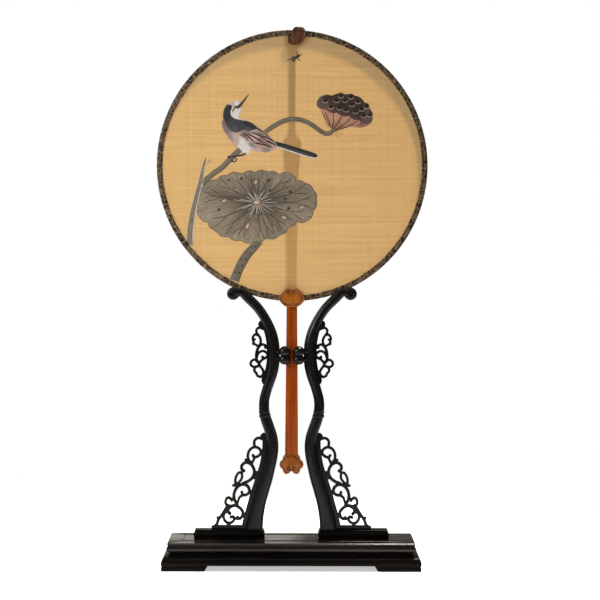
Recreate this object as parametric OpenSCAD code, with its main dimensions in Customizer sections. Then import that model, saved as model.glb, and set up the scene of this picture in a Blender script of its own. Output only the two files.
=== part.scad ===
// Round silk fan resting in a carved blackwood table stand.
// X runs to the right, -Y is the front and +Z is up, in millimetres.
// The origin lies on the table, under the middle of the base.

/* [Fan] */
// Diameter of the fan over its brocade binding
disc_d = 270; // [268:0.5:271]
// Height of the centre of the fan above the table
disc_z = 399.5; // [399:0.5:401]
// Thickness of the bound rim, front to back
rim_t = 6.6; // [6:0.2:6.6]
// Width of the binding seen from the front
binding_w = 5.7; // [5:0.1:6.5]
// Thickness of the silk leaf
silk_t = 0.4; // [0.3:0.1:0.5]
// Thickness of the carved handle end
end_t = 7.6; // [7:0.2:7.8]
// Thickness of each carved collar and finial plate
plate_t = 3; // [2.5:0.1:3.5]

/* [Stand] */
// Length of the flat top of the base
top_l = 242; // [236:2:250]
// Depth of the flat top of the base
top_d = 75; // [70:1:84]
// Height of the base
base_h = 27; // [27:1:27]
// Width of the frame members around the top panel
rail_w = 13.5; // [11:0.5:15]
// Height of the feet under the base rails
foot_h = 5.4; // [4.6:0.1:6]
// Thickness of the uprights, front to back
upright_t = 14; // [14:0.2:15]
// Thickness of the pierced scrollwork
fret_t = 4; // [3:0.2:5]
// Radius of the balls on the handle clasps
ball_r = 5.1; // [4.8:0.1:5.2]
// Clearance around the rim and the arm tenons
gap = 0.3; // [0.2:0.05:0.35]

/* [Hidden] */
$fn = 64;

disc_r = disc_d / 2;
half_rim = rim_t / 2;
tape_t = 0.5;                      // brocade tape
hoop_out = disc_r - tape_t;
hoop_in = disc_r - 4.8;
silk_y = -half_rim + tape_t;       // front face of the silk, under the front flap of the tape
hoop_front = silk_y + silk_t;
hoop_back = half_rim - tape_t;
spine_t = 2;
channel = end_t / 2 + gap;         // half the gap between the front and back clasps
half_upright = upright_t / 2;
pin_r = 0.9;
pin_end = half_rim + 2;            // the pins stop inside the plates
collar_pins_z = [261.5, 273.5];
end_pin_z = 106;
end_pin_len = 3;                   // half the length of the pin in the handle end
handle_foot = 111.4;

waist_z = 15.2;                    // top of the lower moulding
frame_z = 17.5;                      // underside of the top frame
shoe_h = 9.2;
post_z = base_h + shoe_h;          // foot of the uprights
seam_z = 153.5;                    // where each arm plugs into its post
groove_z = 22.1;                   // bottom of the groove for the panel's tongue
groove_h = 2.2;
groove_d = 4.2;
panel_z = 21.2;                    // underside of the top panel
half_l = top_l / 2;
half_d = top_d / 2;
mortise = [12, 7];                 // post tenon, across and front to back
arm_tenon = [4.6, 7, 12];
batten_h = 5;
screw_r = 1.6;
screw_len = 17;
head_z = 14.2;                     // underside of the screw heads
head_t = 2;
tongue_gap = 0.3;

// Centre line of the right-hand arm from the scroll down to the seam: x, z and width.
arm_line = [[57, 272.6, 9], [50.3, 273.2, 8.8], [43.7, 267.5, 9.5], [33.6, 257.3, 9.4],
    [25.7, 245.3, 9.4], [20.4, 233.3, 10], [17.9, 222, 10.6], [17.4, 211, 10.8], [18, 200, 10.8],
    [20.4, 189.5, 10.4], [24.3, 177.5, 9.8], [27, 167.5, 10], [27.6, 160.5, 10.1], [27.2, seam_z, 10.2]];
seam_x = 27.2;
volute = [58.5, 272];
volute_r = 6.3;
// Centre line of the right-hand post from the seam down to the shoe.
post_line = [[seam_x, seam_z, 10.2], [25.3, 145.5, 10.8], [22.3, 137, 10.9], [19.8, 128.5, 11.2],
    [18.8, 119.5, 11.4], [19.5, 110.5, 11.5], [21.6, 100.5, 11.8], [24.8, 88, 12.6],
    [29, 74.5, 13.1], [32.6, 61.5, 13.8], [35.2, 49, 15], [36.9, post_z, 16.8]];
post_x = 37;
clasp_x = 6.9;
clasp_z = 210.3;
ball_pitch = 7.8;

// The strip that joins the scrollwork to the arm, and the one beside the post: x, z and width.
upper_strip = [[29.6, 242], [26.2, 234], [24, 223.5], [23.4, 212], [24.1, 201.5], [26.2, 191.5], [28, 183]];
upper_strip_w = 2.6;
lower_strip = [[26, 132, 3.8], [26.6, 126, 4.6], [26.9, 117, 4.6], [27.9, 109, 4.6], [29.8, 99.5, 4.6],
    [33.6, 87, 4.7], [38, 73.5, 4.7], [41.6, 61, 4.7], [45.3, 48, 4.6], [47.4, 37.8, 4.6]];
// Scrollwork strokes: width, radius of the start, radius of the end, and the points they run through.
upper_strokes = [
    [3, 1.4, 1.1, [[29.6, 244.6], [32, 242], [31, 238.5]]],
    [2.3, 1.1, 1.1, [[28.8, 236.6], [32.6, 238], [35.4, 235.8], [35, 232.5]]],
    [2.3, 1.1, 1.1, [[34.6, 232], [31.8, 228], [31, 224], [32.5, 220], [34.6, 216], [35.6, 210.6],
        [35, 206], [32.5, 202.5]]],
    [2.3, 1.1, 1.5, [[34.2, 230.5], [36.8, 231.2], [39, 228], [38.4, 224.6], [38.2, 222]]],
    [2.1, 1, 1, [[38.2, 222], [35.2, 220.4], [33.2, 218.6]]],
    [1.8, 0.9, 1, [[38.4, 225.4], [36.8, 226.2]]],
    [2.3, 1.1, 1.1, [[24.4, 217.5], [27, 220.6], [30.3, 221], [33, 218.3], [34.5, 215]]],
    [1.8, 0.9, 1, [[27, 220], [26.6, 217.8]]],
    [2.3, 1.1, 1.1, [[23.8, 211], [27, 214.2], [30.5, 214.4], [33.6, 212], [34.8, 208.5]]],
    [2.3, 1.1, 1.4, [[23.8, 210], [27, 207.4], [29.2, 208.6]]],
    [2.3, 1.1, 1.1, [[27, 207.2], [30.4, 205.2], [32.6, 201.8]]],
    [2.3, 1.1, 1.1, [[33.5, 202.8], [36.8, 206], [40.3, 204.4], [41, 201], [38, 198.6], [34, 199.6],
        [32, 200.5]]],
    [2.3, 1.1, 1.1, [[32.6, 199.6], [36.4, 198.3], [37.4, 195], [35.4, 192.4], [34.2, 189.8],
        [31.3, 188.6]]],
    [2.3, 1.1, 1.1, [[31.3, 188.6], [28.9, 190.8], [28.4, 194.4], [30.3, 197.8], [32, 200.2]]],
    [3, 1.1, 1.1, [[26.6, 189], [28.8, 185.8], [27.4, 182.2]]]];
lower_strokes = [
    [2.8, 1.1, 1.1, [[27.4, 131.6], [29.8, 129.6], [29.6, 126.6]]],
    [2.5, 1.3, 1.4, [[28.5, 126.2], [33.2, 127.6], [36.7, 125.4], [37.4, 122], [36.7, 118.8]]],
    [2.5, 1.3, 1.3, [[30.4, 111.8], [31, 115], [33, 117.3], [36.3, 118.4], [40.2, 117.1], [42.8, 113.7],
        [43.7, 109.6], [43, 105.6], [40.6, 102.8]]],
    [2.5, 1.3, 1.4, [[30.6, 112.4], [32.4, 110], [35, 108.5], [37.4, 108.4], [38.6, 110]]],
    [2.3, 1.1, 1.1, [[36.6, 108.2], [38, 105.6], [39.2, 102.6]]],
    [2.3, 1.1, 0.8, [[42, 103.8], [44.5, 104.6], [46.2, 106]]],
    [2.8, 1.6, 1.4, [[47.8, 94.6], [49.9, 96.6], [49.4, 100.4], [45.6, 103], [41, 101.5], [38, 97.4],
        [37.2, 92.4], [39.4, 87.4], [43.6, 84], [48.4, 82.1]]],
    [2.8, 1.4, 1.4, [[35.2, 93], [36.4, 90.4], [37.4, 87.6]]],
    [2.3, 1.1, 1.1, [[49.4, 87.6], [49.8, 92.2], [52.4, 92.8], [54.8, 90], [56.2, 85.6], [55.9, 81]]],
    [2.3, 1.1, 1.1, [[49.4, 87.6], [51.6, 84], [55.4, 80.6]]],
    [2.5, 1.1, 0.8, [[53.6, 79.8], [58.6, 80]]],
    [2.8, 1.4, 1.4, [[41.9, 72.6], [42.4, 76.8], [44.8, 79.9], [48.5, 81], [53, 79.3], [56.4, 74.8],
        [57.6, 69.5], [56.7, 64.9], [54.2, 60.8]]],
    [2.5, 1.3, 1.3, [[41.6, 73.4], [45, 70.6], [48.6, 70.4], [49.7, 73.2]]],
    [2.3, 1.1, 1.1, [[48.6, 70.2], [51.9, 67.9], [53.6, 63]]],
    [2.5, 1.3, 1.3, [[57.6, 67], [60.3, 66], [63.2, 67.8], [65.9, 64.6], [65.3, 60.9], [61.8, 59.3],
        [56.4, 60.2]]],
    [2.1, 1, 1, [[60.3, 66], [59.7, 64.2]]],
    [2.8, 1.6, 1.1, [[61.6, 51.6], [63.4, 54.5], [61.5, 57.7], [56.8, 59.7], [51.9, 57.6], [48.6, 53.2],
        [49.3, 48.8], [52, 46.5], [54.2, 48.2]]],
    [2.3, 1.1, 1.1, [[53, 46.3], [55.6, 46.6], [57.8, 47.4]]],
    [2.5, 1.4, 1.3, [[60.6, 48], [58.4, 48.6], [57.1, 46.2], [59, 43.3], [62.8, 41.9], [66.5, 44.3],
        [67.9, 48.6], [66.6, 52.4], [64.2, 53.2]]],
    [2.8, 1.4, 1.4, [[63.8, 60], [67.3, 53.8], [70.6, 48.9], [73.2, 45.2], [74.6, 41], [76.8, 38.6],
        [78.6, 38.4]]],
    [2.3, 1.1, 0.9, [[72.7, 45.4], [74.2, 48]]],
    [3.4, 1.6, 1.6, [[62.8, 42], [62.8, 38.7]]]];

// Right-hand half of each carved outline: x and z, from the cleft round to the far side.
collar_edge = [[0, 274], [0.9, 275.9], [2.6, 277], [4.9, 277.1], [7.4, 276], [9.4, 273.2], [11.6, 270.6],
    [13.2, 268.1], [12.2, 265], [9.6, 261.8], [6.4, 259.4], [3, 258.6], [0, 258.5]];
finial_edge = [[0, 4.2], [0.7, 6.1], [2.2, 7.3], [4.4, 7.5], [6.7, 6.3], [8.2, 4.2], [10, 2.6], [10.6, 0.2],
    [9.8, -2.4], [7.4, -5.4], [4, -7.4], [0, -8.1]];
end_edge = [[0, 94.7], [1.2, 93.8], [2.6, 92.2], [4.7, 91.5], [6.8, 92.1], [8.4, 94], [9, 96.4], [11.1, 98.3],
    [12, 101.2], [10.9, 104.2], [9, 105.8], [8.8, 107.5], [7.8, 109.7], [5.8, 111.4]];
spine_edge = [[4.4, 269.7], [4.7, 290], [6, 380], [7, 400], [8.4, 414], [9, 420], [8, 425.5], [4.6, 429.5],
    [3.2, 436], [3.1, 500], [3.4, 510], [5, 515], [7.6, 520], [8.4, 529]];
handle_edge = [[6.5, 111.4], [6.3, 150], [5.9, 190], [5.5, 230], [5.2, 264.2]];
finial_pos = [4, 528.3];
finial_turn = 45;                  // the finial is set askew
top_pin = [2.4, 524.4];
end_tenon = [6, 3.6, 10];

function curve(a, b, c, d, t) =
    0.5 * (2 * b + (c - a) * t + (2 * a - 5 * b + 4 * c - d) * t * t + (3 * b - a - 3 * c + d) * t * t * t);
function spline(p, n) = let(m = len(p) - 1) concat(
    [for (i = [0:m - 1], k = [0:n - 1]) curve(p[max(i - 1, 0)], p[i], p[i + 1], p[min(i + 2, m)], k / n)],
    [p[m]]);
function heading(q, i) =
    let(d = q[min(i + 1, len(q) - 1)] - q[max(i - 1, 0)]) [d[0], d[1]] / norm([d[0], d[1]]);
function edge(q, i, s) = let(h = heading(q, i)) [q[i][0], q[i][1]] + s * q[i][2] / 2 * [-h[1], h[0]];
function ribbon(q) = concat(
    [for (i = [0:len(q) - 1]) edge(q, i, 1)],
    [for (i = [len(q) - 1:-1:0]) edge(q, i, -1)]);
function mirrored(q) = concat(q, [for (i = [len(q) - 1:-1:0]) if (abs(q[i][0]) > 0.01) [-q[i][0], q[i][1]]]);
function oval(c, rx, rz, a0, a1, n) =
    [for (i = [0:n]) let(a = a0 + (a1 - a0) * i / n) c + [rx * cos(a), rz * sin(a)]];

// Mouldings: distance out from the edge of the flat top, and height.
top_moulding = concat([[-rail_w, frame_z], [-rail_w, base_h]],
    [[0.5, base_h], [1.3, base_h - 0.6], [1.2, base_h - 1.8], [0.5, base_h - 2.4]],
    oval([-1.1, base_h - 5.9], 3.2, 3.5, 55, -80, 7), [[-1.5, frame_z]]);
base_moulding = concat([[-8, 0], [6.4, 0], [6.9, 0.6], [6.9, 3.4], [6.4, 4], [6.4, 4.6]],
    oval([0.8, waist_z / 2], 6.3, waist_z / 2 - 1.1, -15, 90, 8),
    [[0.1, waist_z - 1], [0.1, waist_z - 0.1], [-1.6, waist_z], [-1.6, frame_z], [-8, frame_z]]);
shoe_moulding = concat([[1, base_h], [1, base_h + 1.4], [0.3, base_h + 1.8]],
    oval([0, base_h + 4.6], 1.2, 2.6, -75, 75, 6),
    [[-0.5, post_z - 1.7], [-0.5, post_z - 1.2], [0.1, post_z - 0.9], [0.1, post_z - 0.3], [-0.3, post_z]]);

// Draws children in the XZ plane with thickness t, centred on y.
module slab(t, y = 0) {
    translate([0, y, 0]) rotate([90, 0, 0]) linear_extrude(height = t, center = true) children();
}
module left() {
    mirror([1, 0, 0]) children();
}
module back() {
    mirror([0, 1, 0]) children();
}
// A round bar along Y, from y0 to y1.
module bar_y(x, z, r, y0, y1) {
    translate([x, y1, z]) rotate([90, 0, 0]) cylinder(r = r, h = y1 - y0);
}
// A ring around the centre of the fan, from radius r0 to r1 and from y0 to y1.
module ring(r0, r1, y0, y1) {
    translate([0, 0, disc_z]) rotate([90, 0, 0]) rotate_extrude()
        translate([r0, -y1]) square([r1 - r0, y1 - y0]);
}

module hoop() {
    color("burlywood") ring(hoop_in, hoop_out, hoop_front, hoop_back);
}
module silk_leaf() {
    color("khaki") difference() {
        bar_y(0, disc_z, hoop_out - 0.1, silk_y, hoop_front);
        for (p = [[0, collar_pins_z[1]], top_pin]) bar_y(p[0], p[1], pin_r, -half_rim, half_rim);
    }
}
module brocade_binding() {
    color("dimgray") {
        ring(hoop_out, disc_r, -half_rim, half_rim);
        ring(disc_r - binding_w, disc_r, -half_rim, silk_y);
        ring(disc_r - binding_w, disc_r, hoop_back, half_rim);
    }
}
// The rib glued to the back of the silk, thick enough at both ends to meet the back plates.
module spine() {
    color("tan") difference() {
        union() {
            slab(spine_t, hoop_front + spine_t / 2) polygon(mirrored(spline(spine_edge, 3)));
            for (z = [270.6, 520]) translate([-4.2, hoop_front, z]) cube([8.4, half_rim - hoop_front, 6.4]);
        }
        for (p = [[0, collar_pins_z[1]], top_pin]) bar_y(p[0], p[1], pin_r, -half_rim, pin_end);
    }
}
module handle() {
    color("chocolate") difference() {
        union() {
            slab(rim_t) polygon(mirrored(spline(handle_edge, 3)));
            translate([-end_tenon[0] / 2, -end_tenon[1] / 2, handle_foot - end_tenon[2]])
                cube([end_tenon[0], end_tenon[1], end_tenon[2] + 1]);
        }
        bar_y(0, collar_pins_z[0], pin_r, -pin_end, pin_end);
        bar_y(0, end_pin_z, pin_r, -pin_end, pin_end);
    }
}
module handle_end() {
    color("chocolate") difference() {
        slab(end_t) polygon(mirrored(spline(end_edge, 3)));
        translate([-end_tenon[0] / 2, -end_tenon[1] / 2, handle_foot - end_tenon[2]])
            cube([end_tenon[0], end_tenon[1], end_tenon[2] + 5]);
        bar_y(0, end_pin_z, pin_r, -end_pin_len, end_pin_len);
    }
}
module handle_end_pin() {
    color("burlywood") bar_y(0, end_pin_z, pin_r, -end_pin_len, end_pin_len);
}
module collar_plate() {
    color("chocolate") difference() {
        slab(plate_t, -half_rim - plate_t / 2) polygon(mirrored(spline(collar_edge, 3)));
        for (z = collar_pins_z) bar_y(0, z, pin_r, -pin_end, 0);
    }
}
module collar_pins() {
    color("burlywood") for (z = collar_pins_z) bar_y(0, z, pin_r, -pin_end, pin_end);
}
// A carved head with a saw slot that straddles the rim.
module finial() {
    color("saddlebrown") difference() {
        translate([finial_pos[0], 0, finial_pos[1]]) rotate([0, -finial_turn, 0])
            slab(rim_t + 2 * plate_t) polygon(mirrored(spline(finial_edge, 3)));
        bar_y(0, disc_z, disc_r, -half_rim, half_rim);
        bar_y(top_pin[0], top_pin[1], pin_r, -pin_end, pin_end);
    }
}
module finial_pin() {
    color("burlywood") bar_y(top_pin[0], top_pin[1], pin_r, -pin_end, pin_end);
}

// Front length of a mitred moulding of the given profile; its inner edge is `inner` in from the edge
// of the flat top.
module front_rail(profile, inner) {
    intersection() {
        rotate([90, 0, 90]) linear_extrude(height = top_l + 30, center = true)
            polygon([for (p = profile) [-half_d - p[0], p[1]]]);
        linear_extrude(height = base_h + 1) polygon([
            [inner - half_l, inner - half_d], [half_l - inner, inner - half_d],
            [half_l + 10, -half_d - 10], [-half_l - 10, -half_d - 10]]);
    }
}
module right_rail(profile, inner) {
    intersection() {
        slab(top_d + 30) polygon([for (p = profile) [half_l + p[0], p[1]]]);
        linear_extrude(height = base_h + 1) polygon([
            [half_l - inner, inner - half_d], [half_l - inner, half_d - inner],
            [half_l + 10, half_d + 10], [half_l + 10, -half_d - 10]]);
    }
}
// The gap between two feet: a shallow arch with sloping ends.
module foot_gap(half) {
    polygon([[-half, -1], [-half + 4, foot_h], [half - 4, foot_h], [half, -1]]);
}
module base_rail_front() {
    color("#191715") difference() {
        front_rail(base_moulding, 8);
        slab(200) foot_gap(half_l - 35);
    }
}
module base_rail_right() {
    color("#191715") difference() {
        right_rail(base_moulding, 8);
        rotate([90, 0, 90]) linear_extrude(height = 400, center = true) foot_gap(half_d - 12);
    }
}
module panel_groove() {
    translate([-half_l + rail_w - groove_d, -half_d + rail_w - groove_d, groove_z])
        cube([top_l - 2 * (rail_w - groove_d), top_d - 2 * (rail_w - groove_d), groove_h]);
}
module top_rail_front() {
    color("#1f1b18") difference() {
        front_rail(top_moulding, rail_w);
        panel_groove();
    }
}
module top_stile_right() {
    color("#1f1b18") difference() {
        right_rail(top_moulding, rail_w);
        panel_groove();
    }
}
module post_mortises(x, z0, z1) {
    for (s = [-1, 1]) translate([s * x - mortise[0] / 2, -mortise[1] / 2, z0])
        cube([mortise[0], mortise[1], z1 - z0]);
}
module top_panel() {
    l = top_l - 2 * rail_w - 2 * tongue_gap;
    d = top_d - 2 * rail_w - 2 * tongue_gap;
    color("#2a221e") difference() {
        union() {
            translate([-l / 2, -d / 2, panel_z]) cube([l, d, base_h - panel_z]);
            translate([-l / 2 - 4, -d / 2 - 4, groove_z + 0.1]) cube([l + 8, d + 8, groove_h - 0.2]);
        }
        post_mortises(post_x, 20, base_h + 1);
    }
}
module panel_batten() {
    color("#1f1b18") difference() {
        union() {
            translate([post_x - 10, -half_d + 8.2, panel_z - batten_h])
                cube([20, top_d - 16.4, frame_z - panel_z + batten_h]);
            translate([post_x - 10, -half_d + rail_w + tongue_gap, frame_z])
                cube([20, top_d - 2 * rail_w - 2 * tongue_gap, panel_z - frame_z]);
        }
        translate([post_x, 0, 10]) cylinder(r = screw_r, h = 20);
    }
}
module corner_blocks() {
    color("#1f1b18") for (sx = [0, 1], sy = [0, 1]) mirror([sx, 0, 0]) mirror([0, sy, 0])
        translate([0, 0, 5]) linear_extrude(height = frame_z - 5)
            polygon([[half_l - 8, half_d - 8], [half_l - 20, half_d - 8], [half_l - 8, half_d - 20]]);
}
module post_screws() {
    color("goldenrod") for (s = [-1, 1]) translate([s * post_x, 0, 0]) {
        translate([0, 0, head_z]) cylinder(r = 2 * screw_r, h = head_t);
        translate([0, 0, head_z + head_t - 0.2]) cylinder(r = screw_r, h = screw_len);
    }
}
// Block between the base and a post, with the same roll moulding on all four sides.
module shoe() {
    hx = 34.3;
    hy = 9.8;
    color("#1a1816") difference() {
        intersection() {
            translate([62, 0, 0]) slab(40) polygon(mirrored([for (p = shoe_moulding) [hx + p[0], p[1]]]));
            rotate([90, 0, 90]) linear_extrude(height = 200)
                polygon(mirrored([for (p = shoe_moulding) [hy + p[0], p[1]]]));
        }
        post_mortises(post_x, base_h - 1, post_z + 1);
    }
}
module post() {
    color("#171513") difference() {
        union() {
            intersection() {
                slab(upright_t) polygon(ribbon(spline(post_line, 4)));
                translate([0, -upright_t, post_z]) cube([80, 2 * upright_t, seam_z - post_z]);
            }
            translate([post_x - mortise[0] / 2, -mortise[1] / 2, panel_z])
                cube([mortise[0], mortise[1], post_z - panel_z + 0.2]);
        }
        translate([post_x, 0, head_z + head_t - 0.2]) cylinder(r = screw_r, h = screw_len);
        translate([seam_x - arm_tenon[0] / 2 - 0.1, -arm_tenon[1] / 2 - 0.1, seam_z - arm_tenon[2] - 0.5])
            cube([arm_tenon[0] + 0.2, arm_tenon[1] + 0.2, arm_tenon[2] + 5]);
    }
}
module arm() {
    color("#171513") difference() {
        union() {
            slab(upright_t) {
                polygon(ribbon(spline(arm_line, 4)));
                translate(volute) circle(r = volute_r);
            }
            translate([seam_x - 5.4, -half_upright - 0.4, seam_z]) cube([10.8, upright_t + 0.8, 1.6]);
        }
        bar_y(0, disc_z, disc_r + gap, -half_rim - gap, half_rim + gap);
        for (s = [-1, 1], y = [-1, 1]) translate([8, y * 5.5, clasp_z + s * ball_pitch / 2])
            rotate([0, 90, 0]) cylinder(r = 1.2, h = 9);
        translate([10, -20, seam_z - 10]) cube([40, 40, 10]);
    }
    color("#171513") translate([seam_x - arm_tenon[0] / 2, -arm_tenon[1] / 2, seam_z - arm_tenon[2]])
        cube([arm_tenon[0], arm_tenon[1], arm_tenon[2]]);
}
module strokes(list) {
    for (s = list) {
        slab(fret_t) polygon(ribbon(spline([for (p = s[3]) [p[0], p[1], s[0]]], 3)));
        bar_y(s[3][0][0], s[3][0][1], s[1], -fret_t / 2, fret_t / 2);
        bar_y(s[3][len(s[3]) - 1][0], s[3][len(s[3]) - 1][1], s[2], -fret_t / 2, fret_t / 2);
    }
}
module upper_fret() {
    color("#131211") {
        slab(fret_t) polygon(ribbon(spline([for (p = upper_strip) [p[0], p[1], upper_strip_w]], 3)));
        strokes(upper_strokes);
    }
}
module lower_fret() {
    color("#131211") {
        slab(fret_t) polygon(ribbon(spline(lower_strip, 3)));
        strokes(lower_strokes);
        slab(fret_t) polygon([[45, post_z], [80.5, post_z], [78, 38.4], [75, 40], [46, 40]]);
    }
}
// Two stacked balls with flat backs, pegged into the inner edge of an arm in front of the handle.
module clasp() {
    color("#141312") {
        difference() {
            for (s = [-1, 1]) translate([clasp_x, -channel - 3, clasp_z + s * ball_pitch / 2])
                sphere(r = ball_r);
            translate([-20, -channel, clasp_z - 20]) cube([40, 40, 40]);
        }
        for (s = [-1, 1]) translate([9, -5.5, clasp_z + s * ball_pitch / 2])
            rotate([0, 90, 0]) cylinder(r = 1.2, h = 8);
    }
}

hoop();
silk_leaf();
brocade_binding();
spine();
handle();
handle_end();
handle_end_pin();
collar_plate();  // collar_front
back() collar_plate();  // collar_back
collar_pins();
finial();
finial_pin();
base_rail_front();
back() base_rail_front();  // base_rail_back
left() base_rail_right();  // base_rail_left
base_rail_right();
corner_blocks();
top_rail_front();
back() top_rail_front();  // top_rail_back
left() top_stile_right();  // top_stile_left
top_stile_right();
top_panel();
left() panel_batten();  // panel_batten_left
panel_batten();  // panel_batten_right
left() shoe();  // shoe_left
shoe();  // shoe_right
left() post();  // post_left
post();  // post_right
post_screws();
left() lower_fret();  // lower_fret_left
lower_fret();  // lower_fret_right
left() arm();  // arm_left
arm();  // arm_right
left() upper_fret();  // upper_fret_left
upper_fret();  // upper_fret_right
left() clasp();  // clasp_front_left
left() back() clasp();  // clasp_back_left
clasp();  // clasp_front_right
back() clasp();  // clasp_back_right
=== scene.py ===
"""Looks of the round silk fan and its carved stand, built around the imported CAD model."""
import math

import bmesh
import bpy
import numpy as np
from mathutils import Matrix, Quaternion, Vector
from mathutils.geometry import delaunay_2d_cdt


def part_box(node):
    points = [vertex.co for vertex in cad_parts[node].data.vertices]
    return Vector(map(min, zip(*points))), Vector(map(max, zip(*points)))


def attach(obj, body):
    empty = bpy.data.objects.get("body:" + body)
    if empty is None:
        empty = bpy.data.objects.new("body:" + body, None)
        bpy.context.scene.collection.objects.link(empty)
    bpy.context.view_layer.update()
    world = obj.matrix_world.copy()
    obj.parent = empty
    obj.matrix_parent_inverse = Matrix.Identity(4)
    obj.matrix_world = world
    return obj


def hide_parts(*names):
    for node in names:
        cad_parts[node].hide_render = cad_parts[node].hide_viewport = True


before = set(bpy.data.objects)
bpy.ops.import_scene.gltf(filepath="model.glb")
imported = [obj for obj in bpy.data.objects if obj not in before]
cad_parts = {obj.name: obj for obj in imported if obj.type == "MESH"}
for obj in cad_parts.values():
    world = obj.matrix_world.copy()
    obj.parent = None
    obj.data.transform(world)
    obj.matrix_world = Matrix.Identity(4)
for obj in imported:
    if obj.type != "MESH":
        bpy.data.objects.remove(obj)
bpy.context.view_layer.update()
MM = 0.001
RNG = np.random.default_rng(11)


def box_mm(node):
    """Lowest and highest corner of a CAD node, in millimetres."""
    low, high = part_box(node)
    return np.array(low) / MM, np.array(high) / MM


# Sizes read from the CAD model, in millimetres. Outlines below are in the XZ plane.
RIM_LOW, RIM_HIGH = box_mm("brocade_binding")
DISC_R = (RIM_HIGH[0] - RIM_LOW[0]) / 2
DISC_Z = (RIM_LOW[2] + RIM_HIGH[2]) / 2
HALF_RIM = RIM_HIGH[1]
SILK_FRONT, SILK_BACK = box_mm("silk_leaf")[0][1], box_mm("silk_leaf")[1][1]
SILK_R = box_mm("silk_leaf")[1][0]
PLATE_FRONT = box_mm("collar_front")[0][1]
HALF_END = box_mm("handle_end")[1][1]
CHANNEL = -box_mm("clasp_front_right")[1][1]
HALF_UPRIGHT = box_mm("post_right")[1][1]
SEAM_Z = box_mm("post_right")[1][2]
POST_FOOT_Z = box_mm("shoe_right")[1][2]
BINDING_W = 5.7
SMOOTH = 35                         # degrees; shading breaks at sharper edges
FRET_VOXEL, FRET_ROUNDS = 0.36, 5   # mesh size of the scrollwork, and its rounds of smoothing
FRET_SWELL = 0.16                   # gives back what the smoothing takes away
TAPE_T = 0.5


# ---------------------------------------------------------------- curves and outlines

def spline(points, steps, closed=False):
    """Catmull-Rom curve through the points, with any number of values per point."""
    p = np.array(points, float)
    n = len(p)
    spans = n if closed else n - 1
    out = []
    for i in range(spans):
        if closed:
            a, b, c, d = (p[(i + k) % n] for k in (-1, 0, 1, 2))
        else:
            a, b, c, d = p[max(i - 1, 0)], p[i], p[i + 1], p[min(i + 2, n - 1)]
        for k in range(steps):
            t = k / steps
            out.append(0.5 * (2 * b + (c - a) * t + (2 * a - 5 * b + 4 * c - d) * t * t
                              + (3 * b - a - 3 * c + d) * t ** 3))
    if not closed:
        out.append(p[-1])
    return np.array(out)


def around(n):
    """The angles of n points evenly round a circle."""
    return [2 * math.pi * k / n for k in range(n)]


def mirrored(half):
    """A closed outline from its right-hand half."""
    other = [(-x, z) for x, z in reversed(half) if abs(x) > 0.01]
    return list(half) + other


def scallops(valleys, bulge, steps=6):
    """A closed outline whose stretches between the valley points bow outwards."""
    v = np.array(valleys, float)
    middle = v.mean(0)
    out = []
    for a, b in zip(v, np.roll(v, -1, 0)):
        across = b - a
        out_dir = np.array([across[1], -across[0]]) / np.linalg.norm(across)
        if np.dot((a + b) / 2 - middle, out_dir) < 0:
            out_dir = -out_dir
        for k in range(steps):
            t = k / steps
            out.append(a + across * t + out_dir * bulge * np.linalg.norm(across) * math.sin(math.pi * t))
    return np.array(out)


def ellipse(cx, cz, rx, rz, tilt=0, n=16):
    """An ellipse of n points, turned by tilt degrees."""
    a = np.linspace(0, 2 * math.pi, n, endpoint=False)
    x, z = rx * np.cos(a), rz * np.sin(a)
    c, s = math.cos(math.radians(tilt)), math.sin(math.radians(tilt))
    return np.stack([cx + x * c - z * s, cz + x * s + z * c], 1)


def spiral(cx, cz, r0, r1, start, turns, n=40):
    """Points from radius r0 to r1, starting at the angle start in degrees; turns may be negative."""
    out = []
    for k in range(n + 1):
        t = k / n
        a = math.radians(start) + 2 * math.pi * turns * t
        r = r0 + (r1 - r0) * t ** 0.8
        out.append((cx + r * math.cos(a), cz + r * math.sin(a)))
    return np.array(out)


def distance(points, line, closed=False):
    """Distance of each point from a line of straight stretches."""
    a = np.array(line, float)
    b = np.roll(a, -1, 0) if closed else a[1:]
    a = a if closed else a[:-1]
    d = b - a
    length2 = np.maximum((d ** 2).sum(1), 1e-12)
    best = np.full(len(points), 1e9)
    for k in range(len(a)):
        t = np.clip(((points - a[k]) @ d[k]) / length2[k], 0, 1)
        near = a[k] + t[:, None] * d[k]
        best = np.minimum(best, np.linalg.norm(points - near, axis=1))
    return best


def inside(points, outline):
    """Whether each point lies inside the outline, by counting crossings."""
    x, z = points[:, 0], points[:, 1]
    hit = np.zeros(len(points), bool)
    for (x0, z0), (x1, z1) in zip(outline, np.roll(outline, -1, 0)):
        crosses = (z0 > z) != (z1 > z)
        at = x0 + (z - z0) / (z1 - z0 if z1 != z0 else 1e-12) * (x1 - x0)
        hit ^= crosses & (x < at)
    return hit


# ---------------------------------------------------------------- mesh building

def add_rings(bm, rings, caps=True, closed=False):
    """Joins rings of points (x, y, z) into one skin, with flat ends unless it closes on itself."""
    made = [[bm.verts.new(p) for p in ring] for ring in rings]
    n = len(made[0])
    pairs = list(zip(made, made[1:])) + ([(made[-1], made[0])] if closed else [])
    for a, b in pairs:
        for k in range(n):
            bm.faces.new((a[k], a[(k + 1) % n], b[(k + 1) % n], b[k]))
    if caps and not closed:
        bm.faces.new(made[0][::-1])
        bm.faces.new(made[-1])
    return made


def add_sweep(bm, stations, section):
    """Sweeps section(w) = [(u, y)] along stations (x, z, w) in the XZ plane; u is across the path."""
    p = np.array(stations, float)
    rings = []
    for i, (x, z, w) in enumerate(p):
        d = p[min(i + 1, len(p) - 1)][:2] - p[max(i - 1, 0)][:2]
        d = d / np.linalg.norm(d)
        rings.append([(x - d[1] * u, y, z + d[0] * u) for u, y in section(w)])
    return add_rings(bm, rings)


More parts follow.
